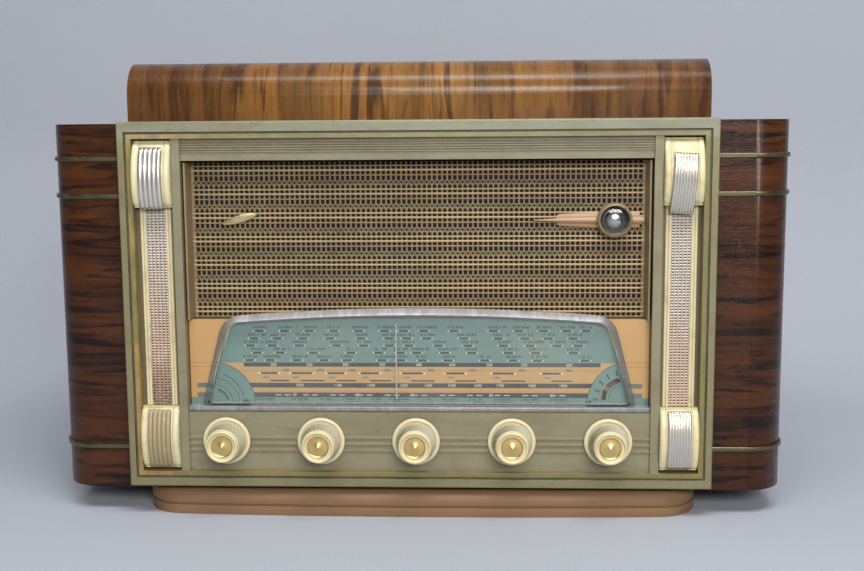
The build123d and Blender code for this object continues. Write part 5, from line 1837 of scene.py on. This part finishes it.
def build_camera():
    """Looks slightly down and from just right of the middle."""
    lens = bpy.data.cameras.new("camera")
    lens.lens = 48.45
    lens.sensor_width = 36.0
    camera = bpy.data.objects.new("camera", lens)
    yaw, pitch, roll = (math.radians(turn) for turn in (CAMERA_YAW, CAMERA_PITCH, CAMERA_ROLL))
    ahead = Vector((math.sin(yaw) * math.cos(pitch), math.cos(yaw) * math.cos(pitch), -math.sin(pitch)))
    level = Vector((math.cos(yaw), -math.sin(yaw), 0.0))
    upward = level.cross(ahead)
    right = math.cos(roll) * level + math.sin(roll) * upward
    top = -math.sin(roll) * level + math.cos(roll) * upward
    turn = Matrix((right, top, -ahead)).transposed()
    camera.matrix_world = Matrix.Translation(CAMERA_PLACE) @ turn.to_4x4()
    bpy.context.scene.collection.objects.link(camera)
    bpy.context.scene.camera = camera


# ------------------------------------------------------------------ operators
class RADIO_OT_cabinet(bpy.types.Operator):
    """Veneer the wings and the hood, and finish the plinth."""

    bl_idname = "radio.cabinet"
    bl_label = "Cabinet"

    def execute(self, context):
        build_cabinet()
        return {"FINISHED"}


class RADIO_OT_front(bpy.types.Operator):
    """Paint the front moulding."""

    bl_idname = "radio.front"
    bl_label = "Front moulding"

    def execute(self, context):
        build_front()
        return {"FINISHED"}


class RADIO_OT_grille(bpy.types.Operator):
    """Build the pierced lattice and its cloth."""

    bl_idname = "radio.grille"
    bl_label = "Grille"

    def execute(self, context):
        build_grille()
        return {"FINISHED"}


class RADIO_OT_eye(bpy.types.Operator):
    """Build the tuning eye and the badge."""

    bl_idname = "radio.eye"
    bl_label = "Tuning eye and badge"

    def execute(self, context):
        build_eye()
        return {"FINISHED"}


class RADIO_OT_columns(bpy.types.Operator):
    """Build the clips, ribbed plates and ribbons."""

    bl_idname = "radio.columns"
    bl_label = "Columns"

    def execute(self, context):
        build_columns()
        return {"FINISHED"}


class RADIO_OT_dial(bpy.types.Operator):
    """Print the dial and glaze it."""

    bl_idname = "radio.dial"
    bl_label = "Dial"

    def execute(self, context):
        build_dial()
        return {"FINISHED"}


class RADIO_OT_knobs(bpy.types.Operator):
    """Build the fluted knobs and their inlays."""

    bl_idname = "radio.knobs"
    bl_label = "Knobs"

    def execute(self, context):
        build_knobs()
        return {"FINISHED"}


class RADIO_OT_inside(bpy.types.Operator):
    """Finish the chassis, the valves and the back."""

    bl_idname = "radio.inside"
    bl_label = "Chassis and back"

    def execute(self, context):
        build_inside()
        return {"FINISHED"}


class RADIO_OT_stage(bpy.types.Operator):
    """Set the floor, the lights and the camera."""

    bl_idname = "radio.stage"
    bl_label = "Stage"

    def execute(self, context):
        build_floor()
        build_lights()
        build_camera()
        return {"FINISHED"}


OPERATORS = (
    RADIO_OT_cabinet,
    RADIO_OT_front,
    RADIO_OT_grille,
    RADIO_OT_eye,
    RADIO_OT_columns,
    RADIO_OT_dial,
    RADIO_OT_knobs,
    RADIO_OT_inside,
    RADIO_OT_stage,
)


class RADIO_PT_build(bpy.types.Panel):
    """Lists the build steps of the radio."""

    bl_idname = "RADIO_PT_build"
    bl_label = "Table Radio"
    bl_space_type = "VIEW_3D"
    bl_region_type = "UI"
    bl_category = "Table Radio"

    def draw(self, context):
        for step in OPERATORS:
            self.layout.operator(step.bl_idname)


CLASSES = (RadioSizes, RadioColours, *OPERATORS, RADIO_PT_build)


def register():
    """Adds the classes and their settings."""
    for item in CLASSES:
        bpy.utils.register_class(item)
    bpy.types.Scene.radio_sizes = PointerProperty(type=RadioSizes)
    bpy.types.Scene.radio_colours = PointerProperty(type=RadioColours)


def unregister():
    """Takes the classes and their settings away."""
    del bpy.types.Scene.radio_colours
    del bpy.types.Scene.radio_sizes
    for item in reversed(CLASSES):
        bpy.utils.unregister_class(item)


def main():
    """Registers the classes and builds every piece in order."""
    register()
    for step in OPERATORS:
        getattr(bpy.ops.radio, step.bl_idname.removeprefix("radio."))()


if __name__ == "__main__":
    main()
